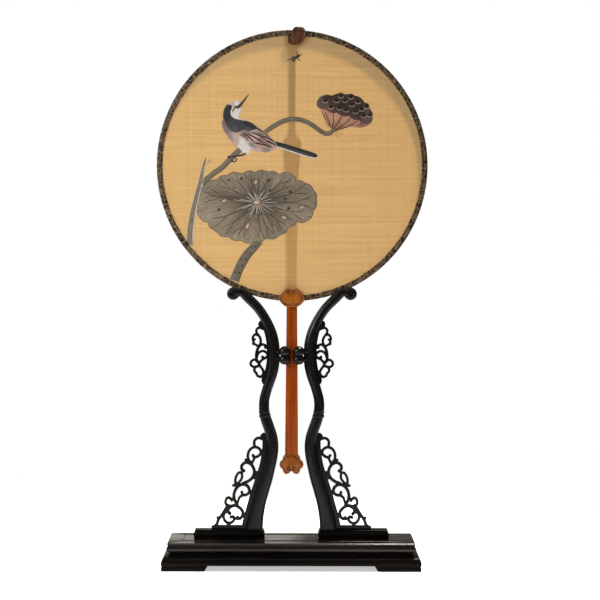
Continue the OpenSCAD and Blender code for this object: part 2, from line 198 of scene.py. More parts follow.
def add_lathe(bm, cx, cz, profile, n=32):
    """Turns a profile of (radius, y) about the Y axis through (cx, cz); it starts and ends on the axis."""
    rings = [[(cx + r * math.cos(a), y, cz + r * math.sin(a)) for a in around(n)]
             for r, y in profile[1:-1]]
    made = add_rings(bm, rings, caps=False)
    for ring, y in ((made[0], profile[0][1]), (made[-1], profile[-1][1])):
        tip = bm.verts.new((cx, y, cz))
        for k in range(n):
            bm.faces.new((ring[k], ring[(k + 1) % n], tip))


def filled(outline, step):
    """Triangles that fill an outline, with a grid of points inside: (points, faces)."""
    outline = np.array(outline, float)
    low, high = outline.min(0), outline.max(0)
    rows = []
    for j, z in enumerate(np.arange(low[1], high[1], step * 0.87)):
        xs = np.arange(low[0] + (j % 2) * step / 2, high[0], step)
        rows += [(x, z) for x in xs]
    grid = np.array(rows).reshape(-1, 2)
    grid = grid[inside(grid, outline)]
    if len(grid):
        grid = grid[distance(grid, outline, closed=True) > 0.45 * step]
    points = [Vector(p) for p in outline] + [Vector(p) for p in grid]
    made = delaunay_2d_cdt(points, [], [list(range(len(outline)))], 1, 1e-5)
    return np.array([tuple(v) for v in made[0]]), [tuple(f) for f in made[2]]


def edge_loop_flags(n, faces):
    """Which of the n points lie on the border of the faces, and the edges of that border."""
    count = {}
    for f in faces:
        for a, b in zip(f, f[1:] + f[:1]):
            count[frozenset((a, b))] = count.get(frozenset((a, b)), 0) + 1
    flag = np.zeros(n, bool)
    border = [tuple(e) for e, c in count.items() if c == 1]
    for a, b in border:
        flag[a] = flag[b] = True
    return flag, border


def add_relief(bm, outline, step, y0, height, back=None):
    """A filled outline raised from y0 towards the front by height(points, distance from the edge).
    The back is flat at y0 and shares the edge, or is the same relief mirrored to y = -y0 with back='mirror',
    or a flat face at the y given by back, joined by a side wall."""
    pts, faces = filled(outline, step)
    d = distance(pts, outline, closed=True)
    flag, border = edge_loop_flags(len(pts), faces)
    h = height(pts, np.where(flag, 0, d))
    front = [bm.verts.new((x, y0 - k, z)) for (x, z), k in zip(pts, h)]
    if back is None:
        rear = [front[i] if flag[i] else bm.verts.new((x, y0, z)) for i, (x, z) in enumerate(pts)]
    elif back == "mirror":
        rear = [bm.verts.new((x, -y0 + k, z)) for (x, z), k in zip(pts, h)]
    else:
        rear = [bm.verts.new((x, back, z)) for x, z in pts]
    for f in faces:
        bm.faces.new([front[i] for i in f])
        bm.faces.new([rear[i] for i in reversed(f)])
    if back is not None:
        for a, b in border:
            bm.faces.new((front[a], front[b], rear[b], rear[a]))
    return pts, front, rear


def add_box(bm, low, high):
    made = bmesh.ops.create_cube(bm, size=1)["verts"]
    low, high = Vector(low), Vector(high)
    for v in made:
        v.co = Vector([l + (c + 0.5) * (h - l) for l, c, h in zip(low, v.co, high)])


def add_rod(bm, start, end, r, n=16):
    """A round bar between two points."""
    start, end = Vector(start), Vector(end)
    turn = (end - start).to_track_quat("Z", "Y").to_matrix()
    rings = []
    for along in (0, 1):
        centre = start.lerp(end, along)
        rings.append([centre + turn @ Vector((r * math.cos(a), r * math.sin(a), 0)) for a in around(n)])
    add_rings(bm, rings)


def shaded(mesh, smooth):
    """Smooth shading that breaks at edges sharper than the given angle in degrees."""
    mesh.shade_smooth()
    mesh.set_sharp_from_angle(angle=math.radians(smooth))


def linked(name, bm, smooth=None):
    """A new object in the scene, made from bmesh data."""
    mesh = bpy.data.meshes.new(name)
    bm.to_mesh(mesh)
    bm.free()
    if smooth is not None:
        shaded(mesh, smooth)
    obj = bpy.data.objects.new(name, mesh)
    bpy.context.scene.collection.objects.link(obj)
    return obj


def to_object(name, bm, smooth=SMOOTH):
    """Turns millimetre bmesh data into an object in metres."""
    bmesh.ops.recalc_face_normals(bm, faces=bm.faces)
    bmesh.ops.scale(bm, vec=(MM, MM, MM), verts=bm.verts)
    return linked(name, bm, smooth)


def settle(obj, smooth=SMOOTH):
    """Applies an object's modifiers to its mesh."""
    bpy.context.view_layer.update()
    shape = obj.evaluated_get(bpy.context.evaluated_depsgraph_get())
    mesh = bpy.data.meshes.new_from_object(shape)
    obj.modifiers.clear()
    obj.data = mesh
    shaded(mesh, smooth)
    return obj


def cut(obj, cutter, smooth=SMOOTH):
    """Takes the cutter away from obj and deletes it."""
    m = obj.modifiers.new("cut", "BOOLEAN")
    m.operation, m.solver, m.object = "DIFFERENCE", "EXACT", cutter
    settle(obj, smooth)
    bpy.data.objects.remove(cutter)
    return obj


def joined(name, *objects):
    """One object from several, each already settled."""
    bm = bmesh.new()
    for o in objects:
        bm.from_mesh(o.data)
    obj = linked(name, bm, SMOOTH)
    for o in objects:
        bpy.data.objects.remove(o)
    return obj


def copy_of(node, name):
    """A new object with a copy of a CAD node's shape, its flat faces made whole again."""
    bm = bmesh.new()
    bm.from_mesh(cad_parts[node].data)
    bmesh.ops.remove_doubles(bm, verts=bm.verts, dist=0.00002)
    bmesh.ops.dissolve_limit(bm, angle_limit=math.radians(1), verts=bm.verts, edges=bm.edges)
    return linked(name, bm)


def eased(node, name, width, segments=2):
    """A CAD node with its sharp edges rounded over."""
    obj = copy_of(node, name)
    m = obj.modifiers.new("ease", "BEVEL")
    m.width, m.segments, m.limit_method, m.angle_limit = width * MM, segments, "ANGLE", math.radians(30)
    m.use_clamp_overlap = True
    return settle(obj)


def worn(node, name):
    """A CAD node remeshed and smoothed, so that every edge is softly rounded like hand-filed wood."""
    obj = copy_of(node, name)
    m = obj.modifiers.new("remesh", "REMESH")
    m.mode, m.voxel_size = "VOXEL", FRET_VOXEL * MM
    s = obj.modifiers.new("smooth", "SMOOTH")
    s.factor, s.iterations = 0.5, FRET_ROUNDS
    swell = obj.modifiers.new("swell", "DISPLACE")
    swell.strength, swell.mid_level = FRET_SWELL * MM, 0
    return settle(obj, 60)


def place(obj, body, slot, material, *nodes):
    """Gives a piece its body and material, and the CAD nodes it stands for; the slot is not used."""
    obj.data.materials.clear()
    obj.data.materials.append(material)
    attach(obj, body)
    if nodes:
        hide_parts(*nodes)
    return obj


# ---------------------------------------------------------------- materials

class Nodes:
    """A short way to write node trees."""

    def __init__(self, name):
        self.material = bpy.data.materials.new(name)
        self.material.use_nodes = True
        self.tree = self.material.node_tree
        self.shader = self.tree.nodes["Principled BSDF"]

    def add(self, kind, **values):
        node = self.tree.nodes.new(kind)
        for key, value in values.items():
            setattr(node, key, value)
        return node

    def link(self, start, end):
        self.tree.links.new(start, end)

    def mapped(self, scale, source=None):
        """Object coordinates (metres) times scale."""
        return self.texture("ShaderNodeMapping", source or self.position(), scale).outputs["Vector"]

    def position(self):
        """Object coordinates, in metres."""
        return self.add("ShaderNodeTexCoord").outputs["Object"]

    def split(self, vector):
        """The X, Y and Z of a vector."""
        xyz = self.add("ShaderNodeSeparateXYZ")
        self.link(vector, xyz.inputs[0])
        return xyz.outputs

    def texture(self, kind, vector, scale, **values):
        """A node that has a scale and reads a vector."""
        node = self.add(kind, **values)
        node.inputs["Scale"].default_value = scale
        self.link(vector, node.inputs["Vector"])
        return node

    def noise(self, vector, detail=3.0, rough=0.55):
        n = self.texture("ShaderNodeTexNoise", vector, 1)
        n.inputs["Detail"].default_value = detail
        n.inputs["Roughness"].default_value = rough
        return n.outputs["Fac"]

    def ramp(self, fac, *stops):
        r = self.add("ShaderNodeValToRGB")
        while len(r.color_ramp.elements) < len(stops):
            r.color_ramp.elements.new(0.5)
        for element, (at, colour) in zip(r.color_ramp.elements, stops):
            element.position = at
            element.color = (*colour, 1) if len(colour) == 3 else colour
        self.link(fac, r.inputs["Fac"])
        return r.outputs["Color"]

    def math(self, kind, a, b=None, c=None):
        n = self.add("ShaderNodeMath", operation=kind)
        for socket, value in zip(n.inputs, (a, b, c)):
            if value is None:
                continue
            if isinstance(value, (int, float)):
                socket.default_value = value
            else:
                self.link(value, socket)
        return n.outputs[0]

    def mix(self, fac, a, b, blend="MIX"):
        n = self.add("ShaderNodeMix", data_type="RGBA", blend_type=blend)
        for socket, value in ((n.inputs[0], fac), (n.inputs[6], a), (n.inputs[7], b)):
            if isinstance(value, (int, float)):
                socket.default_value = value
            elif isinstance(value, tuple):
                socket.default_value = (*value, 1)
            else:
                self.link(value, socket)
        return n.outputs[2]

    def bump(self, height, distance, strength=1.0):
        b = self.add("ShaderNodeBump")
        b.inputs["Distance"].default_value = distance * MM
        b.inputs["Strength"].default_value = strength
        self.link(height, b.inputs["Height"])
        self.link(b.outputs["Normal"], self.shader.inputs["Normal"])

    def colour(self, socket):
        self.link(socket, self.shader.inputs["Base Color"])

    def rough(self, fac, low, high):
        r = self.add("ShaderNodeMapRange")
        r.inputs["To Min"].default_value, r.inputs["To Max"].default_value = low, high
        self.link(fac, r.inputs["Value"])
        self.link(r.outputs["Result"], self.shader.inputs["Roughness"])

    def set(self, **values):
        for key, value in values.items():
            self.shader.inputs[key.replace("_", " ")].default_value = value

    def let_through(self, colour, share):
        """Mixes in light that passes through from the other side."""
        glow = self.add("ShaderNodeBsdfTranslucent")
        self.link(colour, glow.inputs["Color"])
        both = self.add("ShaderNodeMixShader")
        both.inputs["Fac"].default_value = share
        self.link(self.shader.outputs[0], both.inputs[1])
        self.link(glow.outputs[0], both.inputs[2])
        self.link(both.outputs[0], self.tree.nodes["Material Output"].inputs["Surface"])


def wood(name, dark, light, grain, rough, coat=0.0, pores=0.03, specular=0.5, fine=2500, groove_shade_colour=None):
    """Straight-grained wood; grain is the scale per metre along X, Y and Z. The last argument is the colour
    of painted shade mixed into the carved grooves."""
    n = Nodes(name)
    streaks = n.noise(n.mapped(grain), detail=5.0)
    broad = n.noise(n.mapped(tuple(g * 0.22 for g in grain)), detail=2.0)
    both = n.math("MULTIPLY_ADD", broad, 0.5, n.math("MULTIPLY", streaks, 0.55))
    colour = n.ramp(both, (0.36, dark), (0.68, light))
    # Painted shade: carved grooves, the sunken field and the very edge take on a dark colour, by their share
    # in the attribute "hollow".
    if groove_shade_colour:
        hollow = n.add("ShaderNodeAttribute", attribute_name="hollow")
        colour = n.mix(n.math("MULTIPLY", hollow.outputs["Fac"], 0.75), colour, groove_shade_colour)
    n.colour(colour)
    n.rough(streaks, *rough)
    top = max(grain)
    fibres = n.noise(n.mapped(tuple(fine * g / top for g in grain)), detail=2.0)
    n.bump(fibres, pores, 0.8)
    n.set(Coat_Weight=coat, Coat_Roughness=0.12, Specular_IOR_Level=specular)
    return n.material


def rib_material():
    """Thin split bamboo, which lets some light through, and is darkened towards the top by painted shade."""
    n = Nodes("bamboo_rib")
    streaks = n.noise(n.mapped((700, 700, 14)), detail=5.0)
    bamboo_grain = n.ramp(streaks, (0.36, (0.72, 0.63, 0.45)), (0.68, (0.86, 0.78, 0.60)))
    # Painted shade: the colour darkens towards the top of the rib, standing in for the rim's shadow.
    painted_top_shade = n.ramp(n.split(n.position())["Z"], (0.30, (1, 1, 1)), (0.42, (0.80, 0.78, 0.76)),
                  (0.52, (0.50, 0.46, 0.42)))
    colour = n.mix(1.0, bamboo_grain, painted_top_shade, "MULTIPLY")
    n.colour(colour)
    n.rough(streaks, 0.35, 0.50)
    n.bump(streaks, 0.05, 0.8)
    n.let_through(colour, 0.75)
    return n.material


def silk_material():
    """Sheer golden silk with a plain weave and thick slub threads, mostly in the weft."""
    n = Nodes("silk_gauze")
    weft = n.noise(n.mapped((9, 9, 420)), detail=5.0, rough=0.62)
    slub = n.noise(n.mapped((16, 16, 1300)), detail=2.0)
    warp = n.noise(n.mapped((950, 950, 7)), detail=3.0)
    cloud = n.noise(n.mapped((22, 22, 30)), detail=2.0)
    streak = n.math("ADD", n.math("MULTIPLY", weft, 0.72), n.math("MULTIPLY", warp, 0.28))
    base = n.ramp(streak, (0.34, (0.555, 0.345, 0.128)), (0.50, (0.635, 0.415, 0.165)),
                  (0.64, (0.70, 0.475, 0.205)))
    warm = n.mix(n.math("MULTIPLY", cloud, 0.4), base, (0.60, 0.375, 0.14))
    dark_slub = n.ramp(slub, (0.64, (1, 1, 1)), (0.74, (0.86, 0.79, 0.68)))
    colour = n.mix(1.0, warm, dark_slub, "MULTIPLY")
    waves = []
    for direction in ("Z", "X"):
        wave = n.texture("ShaderNodeTexWave", n.mapped((1, 1, 1)), 420, bands_direction=direction)
        wave.inputs["Distortion"].default_value = 0.6
        waves.append(wave.outputs["Fac"])
    weave = n.math("ADD", *waves)
    n.bump(n.math("MULTIPLY_ADD", streak, 2.0, weave), 0.05, 0.5)
    n.colour(colour)
    n.set(Roughness=0.62, Sheen_Weight=0.25, Sheen_Roughness=0.4, Specular_IOR_Level=0.25, Alpha=0.93)
    n.let_through(n.mix(1.0, colour, (1.0, 0.86, 0.62), "MULTIPLY"), 0.42)
    return n.material


BARS_ROUND_RIM = 80


def brocade_material():
    """Patterned cloth strip: mottled brown and charcoal with paired dark bars across it."""
    n = Nodes("brocade_strip")
    where = n.position()
    xyz = n.split(where)
    angle = n.math("ARCTAN2", xyz["X"], n.math("SUBTRACT", xyz["Z"], DISC_Z * MM))
    along = n.math("MULTIPLY", angle, BARS_ROUND_RIM / (2 * math.pi))
    wobble = n.noise(n.mapped((160, 160, 160)), detail=1.0)
    bar = n.math("FRACT", n.math("ADD", along, n.math("MULTIPLY", wobble, 0.55)))
    patches = n.noise(n.mapped((150, 150, 150)), detail=3.0, rough=0.6)
    ground = n.ramp(patches, (0.40, (0.013, 0.009, 0.007)), (0.50, (0.035, 0.026, 0.019)),
                    (0.60, (0.085, 0.050, 0.031)), (0.70, (0.150, 0.092, 0.050)))
    bars = n.ramp(bar, (0.40, (1, 1, 1)), (0.43, (0.12, 0.10, 0.09)), (0.57, (0.12, 0.10, 0.09)),
                  (0.60, (1, 1, 1)))
    between = n.ramp(bar, (0.475, (0, 0, 0)), (0.49, (1, 1, 1)), (0.515, (1, 1, 1)), (0.53, (0, 0, 0)))
    striped = n.mix(0.85, ground, bars, "MULTIPLY")
    bent = n.add("ShaderNodeVectorMath", operation="MULTIPLY_ADD")
    shift = n.texture("ShaderNodeTexNoise", where, 260)
    n.link(shift.outputs["Color"], bent.inputs[0])
    bent.inputs[1].default_value = (0.004, 0.004, 0.004)
    n.link(where, bent.inputs[2])
    cells = n.texture("ShaderNodeTexVoronoi", bent.outputs[0], 230, feature="DISTANCE_TO_EDGE")
    scrolls = n.ramp(cells.outputs["Distance"], (0.03, (1, 1, 1)), (0.07, (0, 0, 0)))
    scrolled = n.mix(scrolls, striped, (0.22, 0.145, 0.075))
    barred = n.mix(n.math("MULTIPLY", between, 0.7), scrolled, (0.36, 0.27, 0.18))
    dots = n.texture("ShaderNodeTexVoronoi", where, 300)
    beads = n.ramp(dots.outputs["Distance"], (0.13, (1, 1, 1)), (0.17, (0, 0, 0)))
    n.colour(n.mix(beads, barred, (0.33, 0.25, 0.16)))
    ribs = n.texture("ShaderNodeTexWave", where, 520, bands_direction="DIAGONAL")
    n.bump(n.math("MULTIPLY_ADD", patches, 1.5, ribs.outputs["Fac"]), 0.12, 0.8)
    n.set(Roughness=0.72, Sheen_Weight=0.12, Sheen_Roughness=0.35, Specular_IOR_Level=0.2)
    return n.material


def thread_material():
    """Silk floss: the colour is painted on the mesh, and fine streaks run along the stitches."""
    n = Nodes("embroidery_floss")
    paint = n.add("ShaderNodeAttribute", attribute_name="floss")
    stitch = n.add("ShaderNodeAttribute", attribute_name="stitch")
    fine = n.noise(n.mapped((1, 1, 1), stitch.outputs["Vector"]), detail=3.0, rough=0.6)
    shade = n.ramp(fine, (0.30, (0.66, 0.65, 0.64)), (0.52, (1, 1, 1)), (0.72, (1.35, 1.32, 1.28)))
    n.colour(n.mix(1.0, paint.outputs["Color"], shade, "MULTIPLY"))
    n.bump(fine, 0.14, 0.9)
    n.set(Roughness=0.5, Sheen_Weight=0.35, Sheen_Roughness=0.3, Specular_IOR_Level=0.35)
    return n.material


UPRIGHT_GRAIN = (420, 420, 34)
BLACKWOOD = wood("blackwood", (0.0018, 0.0014, 0.0012), (0.0075, 0.006, 0.0048), UPRIGHT_GRAIN, (0.20, 0.34),
                 pores=0.02, specular=0.24)
BLACKWOOD_BASE = wood("blackwood_lengthwise", (0.0018, 0.0014, 0.0012), (0.006, 0.0045, 0.0036),
                      (26, 420, 420), (0.24, 0.38), pores=0.02, specular=0.05)
POLISHED = wood("polished_blackwood", (0.003, 0.0023, 0.0018), (0.011, 0.0078, 0.006), (22, 380, 380),
                (0.20, 0.32), pores=0.015, specular=0.36)
SANDALWOOD = wood("sandalwood", (0.19, 0.029, 0.0018), (0.40, 0.078, 0.0055), (520, 520, 22), (0.30, 0.42),
                  pores=0.02, specular=0.12)
# The last colour of the carved sandalwood and of the finial wood is painted shade for their carved grooves.
CARVED_SANDALWOOD = wood("carved_sandalwood", (0.19, 0.042, 0.003), (0.42, 0.125, 0.011), (260, 260, 60),
                         (0.30, 0.42), coat=0.05, pores=0.02, specular=0.25, groove_shade_colour=(0.035, 0.006, 0.001))
FINIAL_WOOD = wood("finial_wood", (0.060, 0.020, 0.009), (0.19, 0.070, 0.026), (300, 300, 80), (0.32, 0.44),
                   pores=0.03, specular=0.25, groove_shade_colour=(0.010, 0.003, 0.0015))
BAMBOO = wood("bamboo", (0.30, 0.19, 0.09), (0.52, 0.37, 0.20), (700, 700, 14), (0.35, 0.50), pores=0.05)
RIB = rib_material()
SILK = silk_material()
BROCADE = brocade_material()
FLOSS = thread_material()


def brass_material():
    n = Nodes("brass_screws")
    marks = n.noise(n.mapped((900, 900, 900)), detail=4.0)
    n.colour(n.ramp(marks, (0.35, (0.35, 0.24, 0.09)), (0.65, (0.62, 0.46, 0.20))))
    n.rough(marks, 0.25, 0.45)
    n.bump(marks, 0.02)
    n.set(Metallic=1.0)
    return n.material


# ---------------------------------------------------------------- stand

ARM_LINE = [(57, 272.6, 8.8), (50.3, 273.2, 8.8), (43.7, 267.5, 9.5), (33.6, 257.3, 9.4), (25.7, 245.3, 9.4),
            (20.4, 233.3, 10), (17.9, 222, 10.6), (17.4, 211, 10.8), (18, 200, 10.8), (20.4, 189.5, 10.4),
            (24.3, 177.5, 9.8), (27, 167.5, 10), (27.6, 160.5, 10.1), (27.2, 153.5, 10.2), (26.3, 148, 10.4)]
POST_LINE = [(27.5, 158, 10.2), (27.2, 153.5, 10.2), (25.3, 145.5, 10.8), (22.3, 137, 10.9),
             (19.8, 128.5, 11.2), (18.8, 119.5, 11.4), (19.5, 110.5, 11.5), (21.6, 100.5, 11.8),
             (24.8, 88, 12.6), (29, 74.5, 13.1), (32.6, 61.5, 13.8), (35.2, 49, 15), (36.9, 36.9, 16.8),
             (37.3, 32, 17)]
VOLUTE = (58.5, 272)
VOLUTE_R = 6.3
SEAM_HALF = 5.05                    # half the width of an upright at the seam
TENON = (27.2, 4.6, 7, 12)          # centre x, width, depth and length of the arm's tenon
CLASP_X, CLASP_Z, BALL_R, BALL_PITCH = 6.9, 210.3, 5.1, 7.8
BALL_STRETCH = 1.12


def upright_section(w):
    """Moulded section of an upright: a broad rounded face, and a bead along the inner edge (u < 0)."""
    h, d = w / 2, HALF_UPRIGHT
    front = [(h, -d + 3.6), (h - 0.25, -d + 2.3), (h - 0.9, -d + 1.15), (h - 1.9, -d + 0.45),
             (0.35 * h, -d + 0.02), (-0.25 * h, -d + 0.25), (-h + 3.0, -d + 0.75), (-h + 2.45, -d + 1.15),
             (-h + 2.1, -d + 1.2), (-h + 1.8, -d + 0.85), (-h + 1.2, -d + 0.6), (-h + 0.55, -d + 0.95),
             (-h + 0.12, -d + 1.7), (-h, -d + 2.8)]
    return front + [(u, -y) for u, y in reversed(front)]


def clipped(bm, z, keep_above):
    """Cuts a skin with a level plane and closes the cut."""
    geom = bm.verts[:] + bm.edges[:] + bm.faces[:]
    bmesh.ops.bisect_plane(bm, geom=geom, plane_co=(0, 0, z), plane_no=(0, 0, 1),
                           clear_outer=not keep_above, clear_inner=keep_above)
    edges = [e for e in bm.edges if e.is_boundary]
    bmesh.ops.holes_fill(bm, edges=edges, sides=0)


def box_object(low, high):
    bm = bmesh.new()
    add_box(bm, low, high)
    return to_object("cutter", bm)


def rim_cutter(clearance):
    bm = bmesh.new()
    r, y = DISC_R + clearance, HALF_RIM + clearance
    add_lathe(bm, 0, DISC_Z, [(0, -y), (r, -y), (r, y), (0, y)], 360)
    return to_object("cutter", bm)


def flipped(obj, axis=0):
    """The mirror image of an object's mesh, about the plane across the axis."""
    turn = Matrix.Identity(4)
    turn[axis][axis] = -1
    obj.data.transform(turn)
    obj.data.flip_normals()
    return obj


def add_bands(bm, x, z, profile):
    """A moulded collar around an upright; profile is the height above z and how far it stands out."""
    rings = []
    corner_cut = 1.6
    for up, out in profile:
        h, d = SEAM_HALF + out, HALF_UPRIGHT - 0.1 + out
        corner = [(h, -d + corner_cut), (h - 0.3 * corner_cut, -d + 0.3 * corner_cut), (h - corner_cut, -d),
                  (-h + corner_cut, -d), (-h + 0.3 * corner_cut, -d + 0.3 * corner_cut),
                  (-h, -d + corner_cut)]
        ring = corner + [(u, -y) for u, y in reversed(corner)]
        rings.append([(x + u, y, z + up) for u, y in ring])
    add_rings(bm, rings)


def arm_piece(side):
    bm = bmesh.new()
    add_sweep(bm, spline(ARM_LINE, 7), upright_section)
    clipped(bm, SEAM_Z, True)
    stem = cut(to_object("stem", bm), rim_cutter(0.3))

    bm = bmesh.new()
    d, r = HALF_UPRIGHT, VOLUTE_R
    add_lathe(bm, *VOLUTE, [(0, -d + 0.9), (1.2, -d + 0.9), (r - 2, -d + 0.75), (r - 0.9, -d + 1.1),
                            (r - 0.2, -d + 2), (r, -d + 3.2), (r, d - 3.2), (r - 0.2, d - 2),
                            (r - 0.9, d - 1.1), (r - 2, d - 0.75), (1.2, d - 0.9), (0, d - 0.9)], 40)
    curl = cut(to_object("curl", bm), rim_cutter(0.3))

    bm = bmesh.new()
    path = spiral(*VOLUTE, 5.0, 1.3, 120, -1.35, 44)
    stations = [(x, z, 1.7 - 0.5 * k / 44) for k, (x, z) in enumerate(path)]
    for y in (-d + 0.95, d - 0.95):
        way = 1 if y > 0 else -1
        add_sweep(bm, stations, lambda w, y=y, way=way: [(w / 2 * math.cos(a),
                                                          y + way * 0.95 * math.sin(a) * (w / 1.7))
                                                         for a in np.linspace(0, math.pi, 7)])
        add_lathe(bm, *VOLUTE, [(0, y + way * 1.0), (0.8, y + way * 0.85), (1.3, y + way * 0.3),
                                (1.4, y - way * 0.2), (0, y - way * 0.2)], 20)
    x, w, t, length = TENON
    add_box(bm, (x - w / 2, -t / 2, SEAM_Z - length), (x + w / 2, t / 2, SEAM_Z + 1))
    add_bands(bm, x + 0.1, SEAM_Z, ((0.02, -0.3), (0.12, 0.15), (0.5, 0.38), (0.85, 0.4), (1.3, 0.3),
                                    (1.6, 0), (1.75, -0.4)))
    trim = to_object("trim", bm)

    obj = joined(f"arm_{side}_carved", stem, curl, trim)
    if side == "left":
        flipped(obj)
    return place(obj, f"arm_{side}", "blackwood", BLACKWOOD, f"arm_{side}")


def post_piece(side):
    bm = bmesh.new()
    add_sweep(bm, spline(POST_LINE, 7), upright_section)
    clipped(bm, POST_FOOT_Z, True)
    clipped(bm, SEAM_Z, False)
    x, w, t, length = TENON

    def socket():
        return box_object((x - w / 2 - 0.1, -t / 2 - 0.1, SEAM_Z - length - 0.5),
                          (x + w / 2 + 0.1, t / 2 + 0.1, SEAM_Z + 5))

    stem = cut(to_object("stem", bm), socket())
    # Two beads around the head of the post, just under the seam.
    bm = bmesh.new()
    add_bands(bm, x + 0.05, SEAM_Z, ((0, -0.2), (-0.2, 0.25), (-0.55, 0.4), (-0.9, 0.25), (-1.1, -0.3)))
    add_bands(bm, x - 0.5, SEAM_Z, ((-2.3, -0.3), (-2.6, 0.35), (-3.2, 0.75), (-4.0, 0.85), (-4.8, 0.55),
                                    (-5.3, 0.1), (-5.6, -0.5)))
    trim = cut(to_object("trim", bm), socket())
    stem = joined(f"post_{side}_carved", stem, trim)
    if side == "left":
        flipped(stem)
    return place(stem, "stand", "blackwood", BLACKWOOD, f"post_{side}")


def clasp_piece(side, face):
    """Two stacked turned balls with flat backs, pegged into the arm."""
    bm = bmesh.new()
    mid = -CHANNEL - 3
    for s in (-1, 1):
        z = CLASP_Z + s * BALL_PITCH / 2
        flat = math.asin(3 / BALL_R)
        arc = [(BALL_R * math.cos(a), mid - BALL_R * math.sin(a))
               for a in np.linspace(math.pi / 2, -flat, 14)]
        add_lathe(bm, CLASP_X, z, [(0, arc[0][1])] + arc[1:] + [(0, -CHANNEL)], 36)
        add_rod(bm, (9, -5.5, z), (17, -5.5, z), 1.2)
    bmesh.ops.scale(bm, vec=(BALL_STRETCH, 1, 1), verts=bm.verts, space=Matrix.Translation((-CLASP_X, 0, 0)))
    obj = to_object(f"clasp_{face}_{side}_turned", bm)
    if face == "back":
        flipped(obj, 1)
    if side == "left":
        flipped(obj)
    return place(obj, f"arm_{side}", "blackwood", BLACKWOOD, f"clasp_{face}_{side}")


def eased_piece(node, ending, width, slot="blackwood", material=BLACKWOOD_BASE):
    """A piece of the stand's fixed part: the CAD shape with its edges rounded over."""
    place(eased(node, f"{node}_{ending}", width), "stand", slot, material, node)


def make_stand():
    for edge in ("front", "back", "left", "right"):
        eased_piece(f"base_rail_{edge}", "moulding", 0.35)
    for name in ("top_rail_front", "top_rail_back", "top_stile_left", "top_stile_right"):
        eased_piece(name, "moulding", 0.22, "polished_blackwood", POLISHED)
    eased_piece("top_panel", "board", 0.3, "polished_blackwood", POLISHED)
    for side in ("left", "right"):
        eased_piece(f"shoe_{side}", "moulding", 0.35)
        eased_piece(f"panel_batten_{side}", "planed", 0.4)
        for fret, body in ((f"lower_fret_{side}", "stand"), (f"upper_fret_{side}", f"arm_{side}")):
            place(worn(fret, f"{fret}_carved"), body, "blackwood", BLACKWOOD, fret)
        post_piece(side)
        arm_piece(side)
        for face in ("front", "back"):
            clasp_piece(side, face)
    eased_piece("corner_blocks", "planed", 0.4)
    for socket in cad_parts["post_screws"].material_slots:
        socket.material = brass_material()


# ---------------------------------------------------------------- fan

COLLAR_EDGE = [(0, 274), (0.9, 275.9), (2.6, 277), (4.9, 277.1), (7.4, 276), (9.4, 273.2), (11.6, 270.6),
               (13.2, 268.1), (12.2, 265), (9.6, 261.8), (6.4, 259.4), (3, 258.6), (0, 258.5)]
FINIAL_EDGE = [(0, 4.2), (0.7, 6.1), (2.2, 7.3), (4.4, 7.5), (6.7, 6.3), (8.2, 4.2), (10, 2.6), (10.6, 0.2),
               (9.8, -2.4), (7.4, -5.4), (4, -7.4), (0, -8.1)]
END_EDGE = [(0, 94.7), (1.2, 93.8), (2.6, 92.2), (4.7, 91.5), (6.8, 92.1), (8.4, 94), (9, 96.4), (11.1, 98.3),
            (12, 101.2), (10.9, 104.2), (9, 105.8), (8.8, 107.5), (7.8, 109.7), (5.8, 111.4), (2.6, 111.6),
            (0, 112.3)]
FINIAL_POS = (4, 528.3)
FINIAL_TURN = 45


def smooth_step(t):
    t = np.clip(t, 0, 1)
    return t * t * (3 - 2 * t)


def add_cloud(bm, edge, grooves, y0, back, depth=1.3, border=1.6):
    """A carved cloud head: a rounded border, a groove along it, a field that swells in the middle, and curls.
    How much painted shade each point gets, most in the grooves, is kept in the attribute "hollow"."""
    outline = mirrored(spline(edge, 4))
    shares = {}

    def height(p, d):
        rim = np.sqrt(np.clip(1 - (1 - np.clip(d / 0.8, 0, 1)) ** 2, 0, 1))
        line = np.exp(-((d - border) / 0.42) ** 2)
        field = smooth_step((d - border) / 0.5)
        swell = smooth_step((d - border - 0.2) / 3.2)
        h = rim - 0.5 * line - 0.34 * field + 0.40 * swell
        # Painted shade: the grooves, the sunken field and the very edge get a share of dark colour.
        hollow = 0.6 * line + 0.35 * field * (1 - swell) + 0.35 * np.exp(-(d / 0.35) ** 2)
        for path, width, dark in grooves:
            near = np.exp(-(distance(p, path) / (0.5 * width)) ** 2) * smooth_step(d / 0.7)
            h = h - 0.55 * near
            hollow = np.maximum(hollow, dark * near)
        shares["hollow"] = np.clip(hollow, 0, 1)
        return depth * np.clip(h, 0, 1.05)

    layer = bm.verts.layers.float.new("hollow")
    front, rear = add_relief(bm, outline, 0.36, y0, height, back)[1:]
    for a, b, share in zip(front, rear, shares["hollow"]):
        a[layer] = b[layer] = share


def both_sides(path, width, dark=1.0):
    """An engraved line and its mirror image."""
    right = np.array(path, float)
    return [(right, width, dark), (right * np.array([-1, 1]), width, dark)]


def collar_piece(face):
    bm = bmesh.new()
    curls = both_sides(spiral(3.1, 273.9, 2.5, 0.5, 175, -1.1, 30), 1.0)
    bracket = both_sides(spline([(0, 261.6), (2.6, 262.1), (5, 261.7), (7.6, 263.3)], 4), 0.9, 0.8)
    add_cloud(bm, COLLAR_EDGE, curls + bracket, PLATE_FRONT + 1.3, -HALF_RIM)
    obj = to_object(f"collar_{face}_carved", bm, 50)
    if face == "back":
        flipped(obj, 1)
    return place(obj, "fan", "sandalwood", CARVED_SANDALWOOD, f"collar_{face}")


def handle_end_piece():
    bm = bmesh.new()
    curls = both_sides(spiral(3.2, 97.0, 2.3, 0.5, -125, -1.05, 30), 1.0)
    ogee = both_sides(spline([(0, 111.2), (0.9, 109.7), (3, 108.9), (5.4, 108), (6.9, 105.6)], 4), 1.0, 0.9)
    add_cloud(bm, END_EDGE, curls + ogee, -HALF_END + 1.3, "mirror")
    obj = to_object("handle_end_carved", bm, 50)
    return place(obj, "fan", "sandalwood", CARVED_SANDALWOOD, "handle_end", "handle_end_pin")


